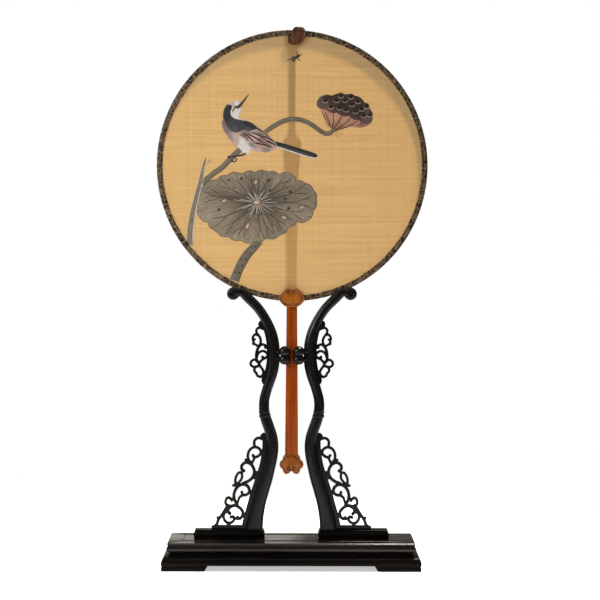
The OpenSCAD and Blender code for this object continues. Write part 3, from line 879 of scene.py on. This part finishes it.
def finial_piece():
    bm = bmesh.new()
    curls = both_sides(spiral(3.4, 4.0, 2.6, 0.5, 175, -1.1, 30), 1.1)
    ears = both_sides(spline([(6.9, 3.6), (6.3, 1.4), (6.9, -0.9), (8.8, -1.7)], 4), 1.0, 0.9)
    add_cloud(bm, FINIAL_EDGE, curls + ears, box_mm("finial")[0][1] + 1.3, "mirror", border=1.7)
    turn = Matrix.Rotation(-math.radians(FINIAL_TURN), 4, "Y")
    move = Matrix.Translation((FINIAL_POS[0], 0, FINIAL_POS[1]))
    bmesh.ops.transform(bm, matrix=move @ turn, verts=bm.verts)
    obj = cut(to_object("finial_carved", bm, 50), rim_cutter(0.02), smooth=50)
    return place(obj, "fan", "finial_wood", FINIAL_WOOD, "finial")


def rim_piece():
    """The brocade strip: a channel of cloth around the hoop, slightly uneven along its length."""
    count = 540
    angle = np.linspace(0, 2 * math.pi, count, endpoint=False)
    width = BINDING_W + 0.12 * np.sin(angle * 23) + 0.09 * np.sin(angle * 57 + 1) + RNG.normal(0, 0.03, count)
    pucker = 0.05 * np.sin(angle * 131) + 0.03 * np.sin(angle * 211 + 2)
    h, t = HALF_RIM, TAPE_T
    rings = []
    for a, w, p in zip(angle, width, pucker):
        r = DISC_R
        outer = [(r - w, -h + t * 0.7), (r - w + 0.05, -h + 0.12), (r - w + 0.5, -h),
                 (r - w / 2, -h + 0.04 + p), (r - 1.6, -h + 0.02), (r - 0.7, -h + 0.25),
                 (r - 0.15, -h + 0.8), (r - 0.02, -h + 1.6), (r - 0.06 + p, 0)]
        outer = outer + [(q, -y) for q, y in reversed(outer[:-1])]
        inner = [(r - w + 0.1, h - t), (r - t, h - t), (r - t, -h + t), (r - w + 0.1, -h + t)]
        rings.append([(q * math.sin(a), y, DISC_Z + q * math.cos(a)) for q, y in outer + inner])
    bm = bmesh.new()
    add_rings(bm, rings, closed=True)
    obj = to_object("brocade_strip", bm, 50)
    return place(obj, "fan", "brocade", BROCADE, "brocade_binding")


def silk_piece():
    """The silk: a disc of cloth drawn tight, with faint pull lines at the rim."""
    rings, sectors = 44, 240
    bm = bmesh.new()
    y0 = (SILK_FRONT + SILK_BACK) / 2
    centre = bm.verts.new((0, y0, DISC_Z))
    last = None
    for k in range(1, rings + 1):
        r = SILK_R * (k / rings) ** 0.8
        pull = 0.07 * (k / rings) ** 6 * (1 - smooth_step((k / rings - 0.93) / 0.07))
        row = []
        for j in range(sectors):
            a = 2 * math.pi * j / sectors
            lift = pull * (math.sin(a * 37 + 0.7) + 0.6 * math.sin(a * 61))
            row.append(bm.verts.new((r * math.sin(a), y0 - lift, DISC_Z + r * math.cos(a))))
        for j in range(sectors):
            k2 = (j + 1) % sectors
            if last is None:
                bm.faces.new((centre, row[j], row[k2]))
            else:
                bm.faces.new((last[j], row[j], row[k2], last[k2]))
        last = row
    obj = to_object("silk_cloth", bm)
    place(obj, "fan", "silk", SILK, "silk_leaf")
    return obj


def make_fan():
    silk_piece()
    rim_piece()
    place(eased("spine", "spine_shaved", 0.35), "fan", "bamboo", RIB, "spine")
    place(eased("handle", "handle_shaped", 1.7, 4), "fan", "sandalwood", SANDALWOOD, "handle")
    handle_end_piece()
    for face in ("front", "back"):
        collar_piece(face)
    finial_piece()
    for name in ("hoop", "collar_pins", "finial_pin"):
        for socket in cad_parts[name].material_slots:
            socket.material = BAMBOO


# ---------------------------------------------------------------- embroidery

CLOTH_Y = (SILK_FRONT + SILK_BACK) / 2
STITCH_Y = CLOTH_Y - 0.03
OLIVE, OLIVE_DARK, OLIVE_LIGHT = (0.165, 0.140, 0.096), (0.050, 0.043, 0.030), (0.25, 0.225, 0.165)
VEIN = (0.062, 0.034, 0.019)
INK, CREAM = (0.018, 0.018, 0.020), (0.60, 0.54, 0.44)
SALMON, BROWN = (0.48, 0.235, 0.155), (0.105, 0.055, 0.030)


class Needle:
    """Collects one embroidered motif: filled patches, bands and single threads, each with its floss colour
    and the direction of its stitches. Points are (x, z) in millimetres from the middle of the disc."""

    def __init__(self):
        self.bm = bmesh.new()
        self.paint = self.bm.verts.layers.float_color.new("floss")
        self.flow = self.bm.verts.layers.float_vector.new("stitch")

    def dye(self, vert, colour, flow):
        vert[self.paint] = (*colour, 1)
        vert[self.flow] = flow

    def patch(self, outline, step, height, colour, flow):
        """A filled shape; colour and flow are functions of the points, or a fixed colour."""
        pts, front, rear = add_relief(self.bm, outline, step, STITCH_Y,
                                      lambda p, d: height * np.sqrt(np.clip(d / 0.9, 0, 1)))
        colours = colour(pts) if callable(colour) else np.tile(colour, (len(pts), 1))
        for p, c, a, b in zip(pts, colours, front, rear):
            for vert in (a, b):
                self.dye(vert, c, flow(p))

    def band(self, stations, height, edge, middle, across=True):
        """A rounded band along (x, z, width) stations, darker at its edges."""
        sides = 9
        turns = np.linspace(0, math.pi, sides)
        made = add_sweep(self.bm, stations, lambda w: [
            (w / 2 * math.cos(a), STITCH_Y - height * math.sin(a) ** 0.6) for a in turns])
        run = 0
        for i, ring in enumerate(made):
            if i:
                run += math.dist(stations[i][:2], stations[i - 1][:2])
            for a, vert in zip(turns, ring):
                share = min(1, math.sin(a) * 1.5) ** 1.5
                side = stations[i][2] / 2 * math.cos(a)
                flow = (side * 0.35, run * 1.5, 0) if across else (run * 0.12, side * 1.5, 0)
                self.dye(vert, [e + (m - e) * share for e, m in zip(edge, middle)], flow)

    def thread(self, points, width, colour, height=0.4, tips=0.35):
        """One couched thread, thinner towards both ends."""
        path = spline(points, 4) if len(points) > 2 else np.array(points, float)
        share = np.linspace(0, 1, len(path))
        widths = width * (tips + (1 - tips) * np.sin(math.pi * np.clip(share, 0.02, 0.98)) ** 0.5)
        turns = np.linspace(0, math.pi, 5)
        made = add_sweep(self.bm, [(x, z, w) for (x, z), w in zip(path, widths)], lambda w: [
            (w / 2 * math.cos(a), STITCH_Y - height * math.sin(a)) for a in turns])
        for k, ring in enumerate(made):
            for vert in ring:
                self.dye(vert, colour, (k * 0.1, vert.co.y * 6, width))

    def knot(self, x, z, r, colour, height=0.5):
        """A small domed knot."""
        before = set(self.bm.verts)
        add_lathe(self.bm, x, z, [(0, STITCH_Y - height), (r * 0.6, STITCH_Y - height * 0.9),
                                  (r * 0.92, STITCH_Y - height * 0.6), (r, STITCH_Y), (0, STITCH_Y)], 12)
        for vert in set(self.bm.verts) - before:
            self.dye(vert, colour, (vert.co.x * 3, vert.co.z * 3, 0))

    def finish(self, name, shift=(0, 0)):
        bmesh.ops.translate(self.bm, vec=(shift[0], 0, DISC_Z + shift[1]), verts=self.bm.verts)
        return place(to_object(name, self.bm, 60), "fan", "embroidery", FLOSS)


def slanted(degrees):
    """Stitches that all run one way."""
    c, s = math.cos(math.radians(degrees)), math.sin(math.radians(degrees))
    return lambda p: ((p[0] * c + p[1] * s) * 0.18, (p[1] * c - p[0] * s) * 1.6, 0)


def radiating(centre, squash=1.0):
    """Stitches that run out from a point."""

    def flow(p):
        x, z = p[0] - centre[0], (p[1] - centre[1]) * squash
        a, r = math.atan2(z, x), math.hypot(x, z)
        return (26 * math.cos(a), 26 * math.sin(a), r * 0.15)

    return flow


def blended(seeds, power=3.5):
    """Colour of each point from the nearest of the coloured seeds, softly mixed."""
    at = np.array([s[:2] for s in seeds], float)
    colours = np.array([s[2] for s in seeds])

    def colour(pts):
        d = np.linalg.norm(pts[:, None] - at[None], axis=2) + 0.3
        w = d ** -power
        return (w @ colours) / w.sum(1)[:, None]

    return colour


DOWN, BLUSH, GREY, MAUVE = (0.70, 0.66, 0.62), (0.50, 0.35, 0.30), (0.27, 0.22, 0.21), (0.20, 0.13, 0.115)
SOOT = (0.026, 0.026, 0.030)


def bird_tail(n):
    """The long tail, with its pale underside."""
    tail = [(-18, 24.5, 4), (-8, 21.5, 5), (8, 16.5, 5.2), (20, 13, 5), (24, 11.8, 3.6), (25.3, 11.4, 1)]
    n.band(spline([(x, z - 1.1, w) for x, z, w in tail], 4), 0.22, GREY, DOWN, across=False)
    n.band(spline(tail, 4), 0.34, INK, SOOT, across=False)
    n.thread([(-14, 22.2), (4, 16.8), (22, 11.6)], 0.5, GREY, 0.42)


def bird_body(n):
    """The body, and the dark crown and back laid over it."""
    body = spline([(-55, 66.5), (-50.5, 64), (-50, 57.5), (-53, 49.5), (-46, 47.5), (-36.5, 42.5),
                   (-27, 35.5), (-18, 27.5), (-14.5, 22), (-18, 17.5), (-27, 15), (-36, 16.5), (-40.5, 17.5),
                   (-43.5, 13), (-47.5, 13.5), (-53.5, 19.5), (-62, 28), (-68.5, 38), (-70, 45.5),
                   (-67.5, 49), (-68.5, 54), (-65.5, 61), (-60.5, 65.5)], 5, closed=True)
    n.patch(body, 1.0, 0.34, blended([(-55, 64, DOWN), (-59, 64.5, BLUSH), (-52, 57, DOWN),
                                      (-53.5, 52, DOWN), (-52.5, 60.5, BLUSH), (-69, 45, MAUVE),
                                      (-66, 38, MAUVE), (-61, 30, GREY), (-57, 31, BLUSH), (-55, 25, BLUSH),
                                      (-52, 20, DOWN), (-50, 26, DOWN), (-46, 15, DOWN), (-44, 20, DOWN),
                                      (-40, 23, GREY), (-33, 17, BLUSH), (-25, 17, GREY), (-18, 19, BLUSH),
                                      (-46, 32, MAUVE), (-37, 30, BLUSH), (-30, 27, MAUVE), (-29, 33, MAUVE),
                                      (-21, 25, MAUVE)]), slanted(-38))
    back = spline([(-64, 63), (-60, 62.5), (-59, 59.5), (-60.5, 55.5), (-59, 51), (-53, 48.5), (-45, 46.8),
                   (-37, 42.8), (-34, 39), (-38, 37), (-43, 35.5), (-48, 36.5), (-54, 34.5), (-60, 35),
                   (-65, 40), (-68.3, 48), (-68.6, 54), (-67, 59.5)], 5, closed=True)
    n.patch(back, 1.0, 0.44, blended([
        (-65, 60, SOOT), (-66, 50, SOOT), (-60, 44, (0.05, 0.05, 0.055)), (-52, 42, (0.045, 0.045, 0.05)),
        (-44, 43, SOOT), (-57, 38, (0.075, 0.072, 0.075)), (-44, 38, (0.085, 0.07, 0.068)), (-38, 41, SOOT)]),
        slanted(-34))


def bird_wing(n):
    """Wing coverts and flight feathers, each a dark vane with a pale edge below it."""
    shade, light = (0.032, 0.022, 0.021), (0.60, 0.39, 0.30)
    for x0, z0, x1, z1, w in ((-52, 33, -43.5, 27, 1.3), (-49, 34, -37, 24.5, 1.5),
                              (-44, 33.5, -30, 24.5, 1.6), (-39.5, 35, -26, 27, 1.6),
                              (-36, 39.5, -23, 30.5, 1.8), (-38, 24.6, -19.5, 19.8, 1.7),
                              (-29, 31, -18, 25.6, 1.7), (-26, 26.4, -16.5, 21.6, 1.5)):
        mid = ((x0 + x1) / 2 + 0.6, (z0 + z1) / 2 + 0.8)
        n.thread([(x0, z0), mid, (x1, z1)], 1.45 * w, shade, 0.46)
        n.thread([(x0 + 0.3, z0 - 1.5), (mid[0], mid[1] - 1.5), (x1 + 0.4, z1 - 1.1)], 0.85, light, 0.54)
    n.thread([(-37.5, 42.6), (-29, 36.8), (-20, 29), (-15.2, 23)], 0.8, light, 0.5)
    n.thread([(-62, 29), (-54, 20), (-47.5, 13.6), (-43.6, 13.2)], 0.6, GREY, 0.40)


def bird_head(n):
    """The stripe behind the eye, the eye with a painted highlight, and the raised bill."""
    n.thread([(-52.5, 61.8), (-56.5, 59.6), (-59.6, 55.5)], 2.6, SOOT, 0.42)
    n.knot(-56.2, 60.3, 1.25, INK, 0.62)
    # Painted highlight: a small cream knot on the eye stands in for its glint.
    n.knot(-56.5, 60.7, 0.4, CREAM, 0.68)
    n.band([(-54.5, 59, 3.2), (-52, 61.6, 3), (-48, 66.5, 2), (-44.5, 71, 1.1), (-43, 73, 0.3)], 0.5, INK,
           SOOT, across=False)
    n.thread([(-54, 60), (-49, 65.6), (-44, 71.6)], 0.4, (0.16, 0.14, 0.13), 0.62)


def bird_feet(n):
    """A leg and the claws on the stalk."""
    n.thread([(-45.5, 14.5), (-49, 12.6), (-55, 11.6), (-62.5, 10.6)], 1.7, INK, 0.62, 0.7)
    n.thread([(-59, 10.4), (-56.2, 9.6), (-55, 7.8), (-57.2, 5.9), (-59.6, 6.3)], 1.2, INK, 0.6, 0.6)
    n.knot(-62.8, 10.6, 1.3, INK, 0.62)
    n.knot(-59.4, 6.4, 1.0, INK, 0.6)


def bird():
    """A wagtail-like bird that looks up from its perch."""
    n = Needle()
    for part in (bird_tail, bird_body, bird_wing, bird_head, bird_feet):
        part(n)
    n.finish("embroidered_bird", (-0.4, -2))


def branch():
    """The stalk the bird sits on, which bends over to the seed pod."""
    n = Needle()
    lower = [(-90, -18.5, 5.2), (-84, -12.5, 5.4), (-77, -7, 5.6), (-70, -2, 5.6), (-63.5, 4.5, 5.6),
             (-58, 10.5, 5.6), (-53, 15, 5.4), (-48.5, 18.5, 4.4)]
    upper = [(-27, 33.5, 4.2), (-19.5, 38.7, 4.8), (-11, 43.4, 4.8), (-1.5, 46.3, 4.8), (8.5, 45.6, 4.8),
             (18.8, 41.2, 4.6), (28, 34.6, 4.6), (33.5, 32, 4.6), (38, 33, 4.4), (41.5, 36.5, 3.6)]
    for line in (lower, upper):
        path = spline(line, 5)
        n.band(path, 0.28, OLIVE_DARK, OLIVE, across=False)
        for side in (-0.22, 0.18):
            n.thread([(x + w * side * 0.7, z - w * side) for x, z, w in line[1:-1]], 0.45,
                     OLIVE_LIGHT if side < 0 else OLIVE_DARK, 0.36)
    for x, z in ((-80, -9), (-72, -4.6), (-60, 9), (-14, 42), (4, 46.6), (24, 38)):
        n.knot(x, z, 0.45, BROWN, 0.36)
    n.finish("embroidered_branch")


def pod():
    """A lotus seed pod seen a little from above."""
    n = Needle()
    crown, deep = (0.048, 0.028, 0.023), (0.010, 0.007, 0.006)
    shoulder, well, lip = (0.10, 0.07, 0.06), (0.032, 0.022, 0.020), (0.075, 0.048, 0.042)
    cone = [(26, 60), (28, 55), (32, 47.5), (37.5, 39), (42, 34), (48, 36), (57, 38.5), (67.5, 38),
            (75, 40.5), (79, 45), (70, 50), (50, 58), (35, 62)]
    n.patch(spline(cone, 5, closed=True), 1.0, 0.22, blended([
        (34, 48, SALMON), (45, 40, (0.36, 0.17, 0.11)), (42, 48, (0.55, 0.29, 0.19)), (60, 41, SALMON),
        (74, 42.5, (0.30, 0.15, 0.11)), (41, 36, (0.20, 0.12, 0.07)), (54, 44, (0.5, 0.26, 0.18))]),
        radiating((40, 34)))
    for rib, w in (([(38, 38), (36, 45), (32.3, 53.5)], 0.9), ([(39.4, 37), (41, 44.5), (40.5, 53)], 1.0),
                   ([(41.5, 37), (45.8, 43.5), (49.5, 50.5)], 1.0),
                   ([(42.5, 36), (52, 41.5), (58, 47.5)], 1.0), ([(44, 35.6), (57, 40), (66, 45.5)], 0.9),
                   ([(62, 39.6), (69, 42), (74, 43)], 0.7), ([(37, 39.6), (32.6, 47), (29.5, 54)], 0.7)):
        n.thread(rib, 1.5 * w, (0.075, 0.036, 0.020), 0.34)
    rim = [(24, 60), (27.5, 68.5), (39.5, 69.8), (53.5, 71), (62, 70), (71.5, 63.5), (77.5, 56.5), (80, 48),
           (75.5, 41), (66, 45), (56, 49), (44.5, 52), (33.5, 55.2)]
    n.patch(scallops(rim, 0.13, 7), 1.0, 0.36, blended([
        (28, 64, shoulder), (36, 69, crown), (50, 70, crown), (64, 66, crown), (78, 55, shoulder),
        (50, 61, well), (66, 54, well), (30, 57, (0.13, 0.08, 0.065)),
        (46, 52, lip), (62, 47, lip), (75, 43, (0.13, 0.08, 0.068))]), slanted(-28))
    seeds = [(32.8, 65.2), (38.4, 59), (44, 65.5), (48.2, 70), (52.2, 65.6), (58.3, 69), (65.4, 64.6),
             (74, 59.6), (47, 58), (59, 61.5), (53.5, 56.2), (62.8, 54.6), (69, 57), (70.8, 50.6),
             (77.2, 51)]
    r = 2.3
    for x, z in seeds:
        n.knot(x, z, r, deep, 0.46)
        arc = [(x + 1.35 * r * math.cos(a), z - 0.2 + 1.05 * r * math.sin(a))
               for a in np.linspace(-2.9, -0.2, 6)]
        n.thread(arc, 0.95, (0.42, 0.30, 0.22), 0.5, 0.5)
        over = [(x + 1.3 * r * math.cos(a), z + 1.1 * r * math.sin(a)) for a in np.linspace(0.4, 2.7, 5)]
        n.thread(over, 0.6, deep, 0.48)
        n.thread([(x - 0.9, z + 0.9), (x + 0.7, z + 1.2)], 0.5, (0.20, 0.15, 0.13), 0.52)
    for hair in ([(31.5, 44.5), (33, 41.5), (36, 39.5)], [(32.5, 38.6), (35.5, 39.4), (38, 38)],
                 [(41.5, 34), (44, 30), (46.8, 27.2)], [(43, 34.5), (47, 32), (51, 31.8)],
                 [(40.5, 34), (39.6, 31), (40, 28.8)], [(35, 42), (34, 45.5), (31.4, 48)]):
        n.thread(hair, 0.55, (0.30, 0.14, 0.08), 0.3)
    n.finish("embroidered_pod")


LEAF_X, LEAF_Z = -35, -36.5
LEAF_EDGE = scallops([(-94, -42), (-91.5, -52), (-84, -56.5), (-76, -65), (-63, -71), (-51, -74), (-38, -76),
                 (-26, -72), (-12, -69), (-4, -61), (5, -55.5), (15, -54.5), (21, -45), (24, -34), (21, -24),
                 (13, -17.5), (3.5, -15.5), (0, -9), (-13, -8.5), (-24, -6.5), (-37, -6.5), (-50, -8.5),
                 (-65, -9.5), (-75, -14.5), (-86, -18.5), (-91, -29)], 0.17, 7)


def leaf_reach(a):
    """Distance from the middle to the edge along the direction a."""
    ray = LEAF_EDGE - (LEAF_X, LEAF_Z)
    turn = np.arctan2(ray[:, 1], ray[:, 0])
    off = np.abs((turn - a + math.pi) % (2 * math.pi) - math.pi)
    return np.linalg.norm(ray[off.argmin()])


def leaf_colour(pts):
    """Olive that darkens in a star round the middle."""
    d = pts - (LEAF_X, LEAF_Z)
    r = np.hypot(d[:, 0] / 1.75, d[:, 1])
    a = np.arctan2(d[:, 1], d[:, 0])
    dark = np.exp(-(r / (17 + 3.5 * np.sin(7 * a) + 2 * np.sin(13 * a + 1))) ** 2)
    tone = 1 + 0.10 * np.sin(5 * a + r * 0.12) + 0.06 * np.sin(17 * a)
    base, core = np.array([0.252, 0.206, 0.150]), np.array([0.040, 0.034, 0.028])
    return (base * tone[:, None]) * (1 - dark[:, None]) + core * dark[:, None]


def leaf_veins(n):
    """Pale inner veins that go on as dark ones and fork near the edge."""
    veins = 26
    for k in range(veins):
        a = 2 * math.pi * (k + 0.3 * math.sin(3.7 * k)) / veins
        far = leaf_reach(a)
        sway = 0.05 * math.sin(2.3 * k)

        def at(share, turn=0.0, a=a, far=far):
            return LEAF_X + far * share * math.cos(a + turn), LEAF_Z + far * share * math.sin(a + turn)

        inner = 0.33 + 0.08 * math.sin(5 * k)
        n.thread([at(0.07), at(0.18, sway / 2), at(inner, sway)], 0.62, CREAM, 0.40)
        if k % 5 == 4:
            continue
        n.thread([at(inner + 0.01, sway), at(0.5, sway), at(0.64, sway * 1.5)], 1.3, VEIN, 0.36)
        for way in (-1, 1):
            spread = way * (0.055 + 0.02 * math.sin(k * way))
            n.thread([at(0.62, sway * 1.5), at(0.76, sway + spread), at(0.91, sway + spread * 1.7)], 0.95,
                     VEIN, 0.34)


def leaf_spots(n):
    """The middle of the leaf, and its flecks and holes."""
    core = ellipse(LEAF_X, LEAF_Z, 3.6, 2.4, 10, 18)
    n.patch(core, 0.8, 0.5, (0.55, 0.40, 0.30), slanted(20))
    n.thread(np.vstack([core, core[:1]]), 0.8, BROWN, 0.5, 1)
    for x, z, rx, rz, tilt in ((-67.5, -35, 2.6, 1.9, 20), (-36.5, -16.5, 2.6, 2.0, 60),
                               (-44.5, -60, 2.0, 3.6, -25), (-8, -51.5, 2.8, 1.9, -15),
                               (9.5, -41.5, 3.0, 1.5, 20)):
        n.patch(ellipse(x, z, rx, rz, tilt, 12), 0.8, 0.4, (0.56, 0.36, 0.26), slanted(30))
        n.thread(ellipse(x, z, rx + 0.4, rz + 0.4, tilt, 12), 0.5, BROWN, 0.42, 1)
    for x, z, r in ((-63, -14.5, 1.4), (-50.5, -13, 1.7), (-23.5, -14.5, 1.6), (-73, -44, 1.8),
                    (-2, -26, 1.8), (-3.5, -42.5, 1.8), (-22, -25, 1.6), (-7, -33, 1.9), (-58, -22, 1.0),
                    (-20, -60, 1.1)):
        n.knot(x, z, r, (0.045, 0.040, 0.036), 0.42)


def leaf():
    """A lotus leaf, flattened by perspective, with veins that fork towards its scalloped edge."""
    n = Needle()
    n.patch(LEAF_EDGE, 1.3, 0.24, leaf_colour, radiating((LEAF_X, LEAF_Z), 1.6))
    n.thread(np.vstack([LEAF_EDGE[::2], LEAF_EDGE[:1]]), 0.7, (0.115, 0.10, 0.072), 0.30, 1)
    leaf_veins(n)
    leaf_spots(n)
    n.finish("embroidered_leaf")


def stalk():
    """The stalk of the leaf, which runs down under the strip."""
    n = Needle()
    line = [(-33, -75, 7.5), (-39.5, -82, 8.6), (-47, -91, 9.2), (-53.5, -103, 9.2), (-58, -114.5, 9.4)]
    path = spline(line, 6)
    n.band(path, 0.24, OLIVE_DARK, (0.145, 0.126, 0.090), across=False)
    n.thread([(x - w * 0.42, z + w * 0.20) for x, z, w in line], 0.6, (0.30, 0.27, 0.21), 0.34, 0.9)
    n.thread([(x + w * 0.42, z - w * 0.20) for x, z, w in line], 0.9, OLIVE_DARK, 0.34, 0.9)
    for k, (x, z) in enumerate([(-37, -80.5), (-41, -81.5), (-42, -87.5), (-46, -86.5), (-46.5, -93),
                                (-50.5, -93), (-50, -99.5), (-54, -100.5), (-53, -107), (-57, -106.5)]):
        n.knot(x, z, 1.05 - 0.2 * (k % 2), (0.026, 0.022, 0.019), 0.38)
    n.finish("embroidered_stalk", (0.4, 0))


def reed():
    """A tall blade at the left, pale along one edge."""
    n = Needle()
    line = [(-86, 8, 0.8), (-88, 0, 2.4), (-91, -15, 4.2), (-95, -30, 4.8), (-98.5, -45, 5.2), (-101, -60, 6),
            (-102, -72, 6.6), (-101.5, -79, 7)]
    n.band(spline(line, 6), 0.24, OLIVE_DARK, (0.19, 0.165, 0.118), across=False)
    n.thread([(x + w * 0.46, z - 0.1 * w) for x, z, w in line[1:]], 0.8, (0.62, 0.60, 0.54), 0.34, 0.7)
    n.thread([(x - w * 0.46, z + 0.1 * w) for x, z, w in line[2:]], 0.5, (0.42, 0.40, 0.34), 0.32, 0.7)
    for hair in ([(-85, 1), (-82, 4.4), (-81.6, 7.4)], [(-84.6, 4), (-82, 4.6), (-79.6, 3.4)]):
        n.thread(hair, 0.5, (0.30, 0.20, 0.11), 0.28)
    n.finish("embroidered_reed")


def insect():
    """A small insect near the top."""
    n = Needle()
    n.patch(ellipse(0.8, 108.6, 3.3, 2.2, 25, 14), 0.7, 0.34, (0.10, 0.060, 0.035), slanted(25))
    n.patch(ellipse(4.9, 110.8, 2.1, 1.7, 25, 12), 0.6, 0.36, (0.05, 0.032, 0.022), slanted(25))
    for leg in ([(2.5, 109), (1.6, 106.4), (-0.6, 104.8)], [(3.4, 109.6), (5.4, 107.6), (7.6, 106.6)],
                [(4.6, 111.8), (4.2, 113.6), (3, 115)], [(5.8, 111.4), (7.6, 112.2), (9.4, 111.8)],
                [(-1.8, 107.8), (-4.2, 107.6), (-6, 106.4)]):
        n.thread(leg, 1.0, (0.05, 0.032, 0.022), 0.3)
    n.finish("embroidered_insect", (0.4, -2))


def make_embroidery():
    for motif in (reed, stalk, leaf, branch, pod, bird, insect):
        motif()


# ---------------------------------------------------------------- camera, light and floor

CAMERA_AT, CAMERA_AIM = (0, -2.117, 0.3227), (0.0081, 0, 0.2657)
CAMERA_ROLL = math.radians(0.15)
LENS, SENSOR = 127.2, 36
ROOM_LIGHT, ROOM_STRENGTH = (1, 0.92, 0.80, 1), 0.16
FLOOR_GLOW = 0.5
FLOOR_R = 560


def aimed(obj, start, target):
    """Puts an object at start with its -Z axis towards target."""
    obj.location = start
    obj.rotation_mode = "QUATERNION"
    obj.rotation_quaternion = (Vector(target) - Vector(start)).to_track_quat("-Z", "Y")
    bpy.context.scene.collection.objects.link(obj)


def make_camera():
    data = bpy.data.cameras.new("camera")
    data.lens, data.sensor_width = LENS, SENSOR
    camera = bpy.data.objects.new("camera", data)
    aimed(camera, CAMERA_AT, CAMERA_AIM)
    camera.rotation_quaternion = camera.rotation_quaternion @ Quaternion((0, 0, 1), CAMERA_ROLL)
    bpy.context.scene.camera = camera
    bpy.context.scene.view_settings.view_transform = "Standard"


def make_world():
    """A warm room that the camera sees as white."""
    world = bpy.data.worlds.new("studio")
    world.use_nodes = True
    bpy.context.scene.world = world
    tree = world.node_tree
    room = tree.nodes["Background"]
    white = tree.nodes.new("ShaderNodeBackground")
    for node, colour, strength in ((room, ROOM_LIGHT, ROOM_STRENGTH), (white, (1, 1, 1, 1), 1)):
        node.inputs["Color"].default_value = colour
        node.inputs["Strength"].default_value = strength
    seen = tree.nodes.new("ShaderNodeLightPath")
    both = tree.nodes.new("ShaderNodeMixShader")
    tree.links.new(seen.outputs["Is Camera Ray"], both.inputs["Fac"])
    tree.links.new(room.outputs[0], both.inputs[1])
    tree.links.new(white.outputs[0], both.inputs[2])
    tree.links.new(both.outputs[0], tree.nodes["World Output"].inputs["Surface"])


def lamp(name, start, target, size, power, colour):
    """A rectangular lamp that the camera doesn't see; power is in watts."""
    light = bpy.data.lights.new(name, "AREA")
    light.shape, light.size, light.size_y = "RECTANGLE", *size
    light.energy, light.color = power, colour
    obj = bpy.data.objects.new(name, light)
    aimed(obj, start, target)
    obj.visible_camera = False


def make_lamps():
    lamp("key", (-0.60, -0.38, 0.56), (0, 0, 0.36), (0.36, 0.36), 5.1, (1, 1, 1))
    lamp("back", (0.58, 0.74, 2.15), (0, 0, 0.4), (0.36, 0.36), 66, (1, 0.95, 0.86))
    lamp("overhead", (0, 0.1, 1.8), (0, 0.1, 0), (1.2, 1.0), 8, (1, 1, 1))
    lamp("panel", (-0.35, 1.25, 0.24), (-0.05, 0, 0.05), (0.75, 0.36), 0.7, (1, 0.95, 0.88))
    lamp("fill", (1.3, -1.3, 0.7), (0, 0, 0.3), (0.8, 0.8), 0.6, (1, 0.97, 0.93))


def make_floor():
    """A pale round table top with a soft edge. It also glows, so that the ground stays white in shadow."""
    bm = bmesh.new()
    add_rings(bm, [[((FLOOR_R - e) * math.cos(a), (FLOOR_R - e) * math.sin(a), z) for a in around(128)]
                   for e, z in ((4, -14), (0, -12), (0, -3), (1, -1), (4, 0))])
    floor = to_object("floor", bm)
    paint = Nodes("floor_paint")
    speck = paint.noise(paint.mapped((60, 60, 60)), detail=2.0)
    paint.colour(paint.ramp(speck, (0.3, (0.90, 0.90, 0.895)), (0.7, (0.92, 0.92, 0.915))))
    paint.set(Roughness=0.8, Specular_IOR_Level=0.2, Emission_Color=(1, 1, 1, 1),
              Emission_Strength=FLOOR_GLOW)
    floor.data.materials.append(paint.material)


make_camera()
make_world()
make_lamps()
make_floor()
make_stand()
make_fan()
make_embroidery()
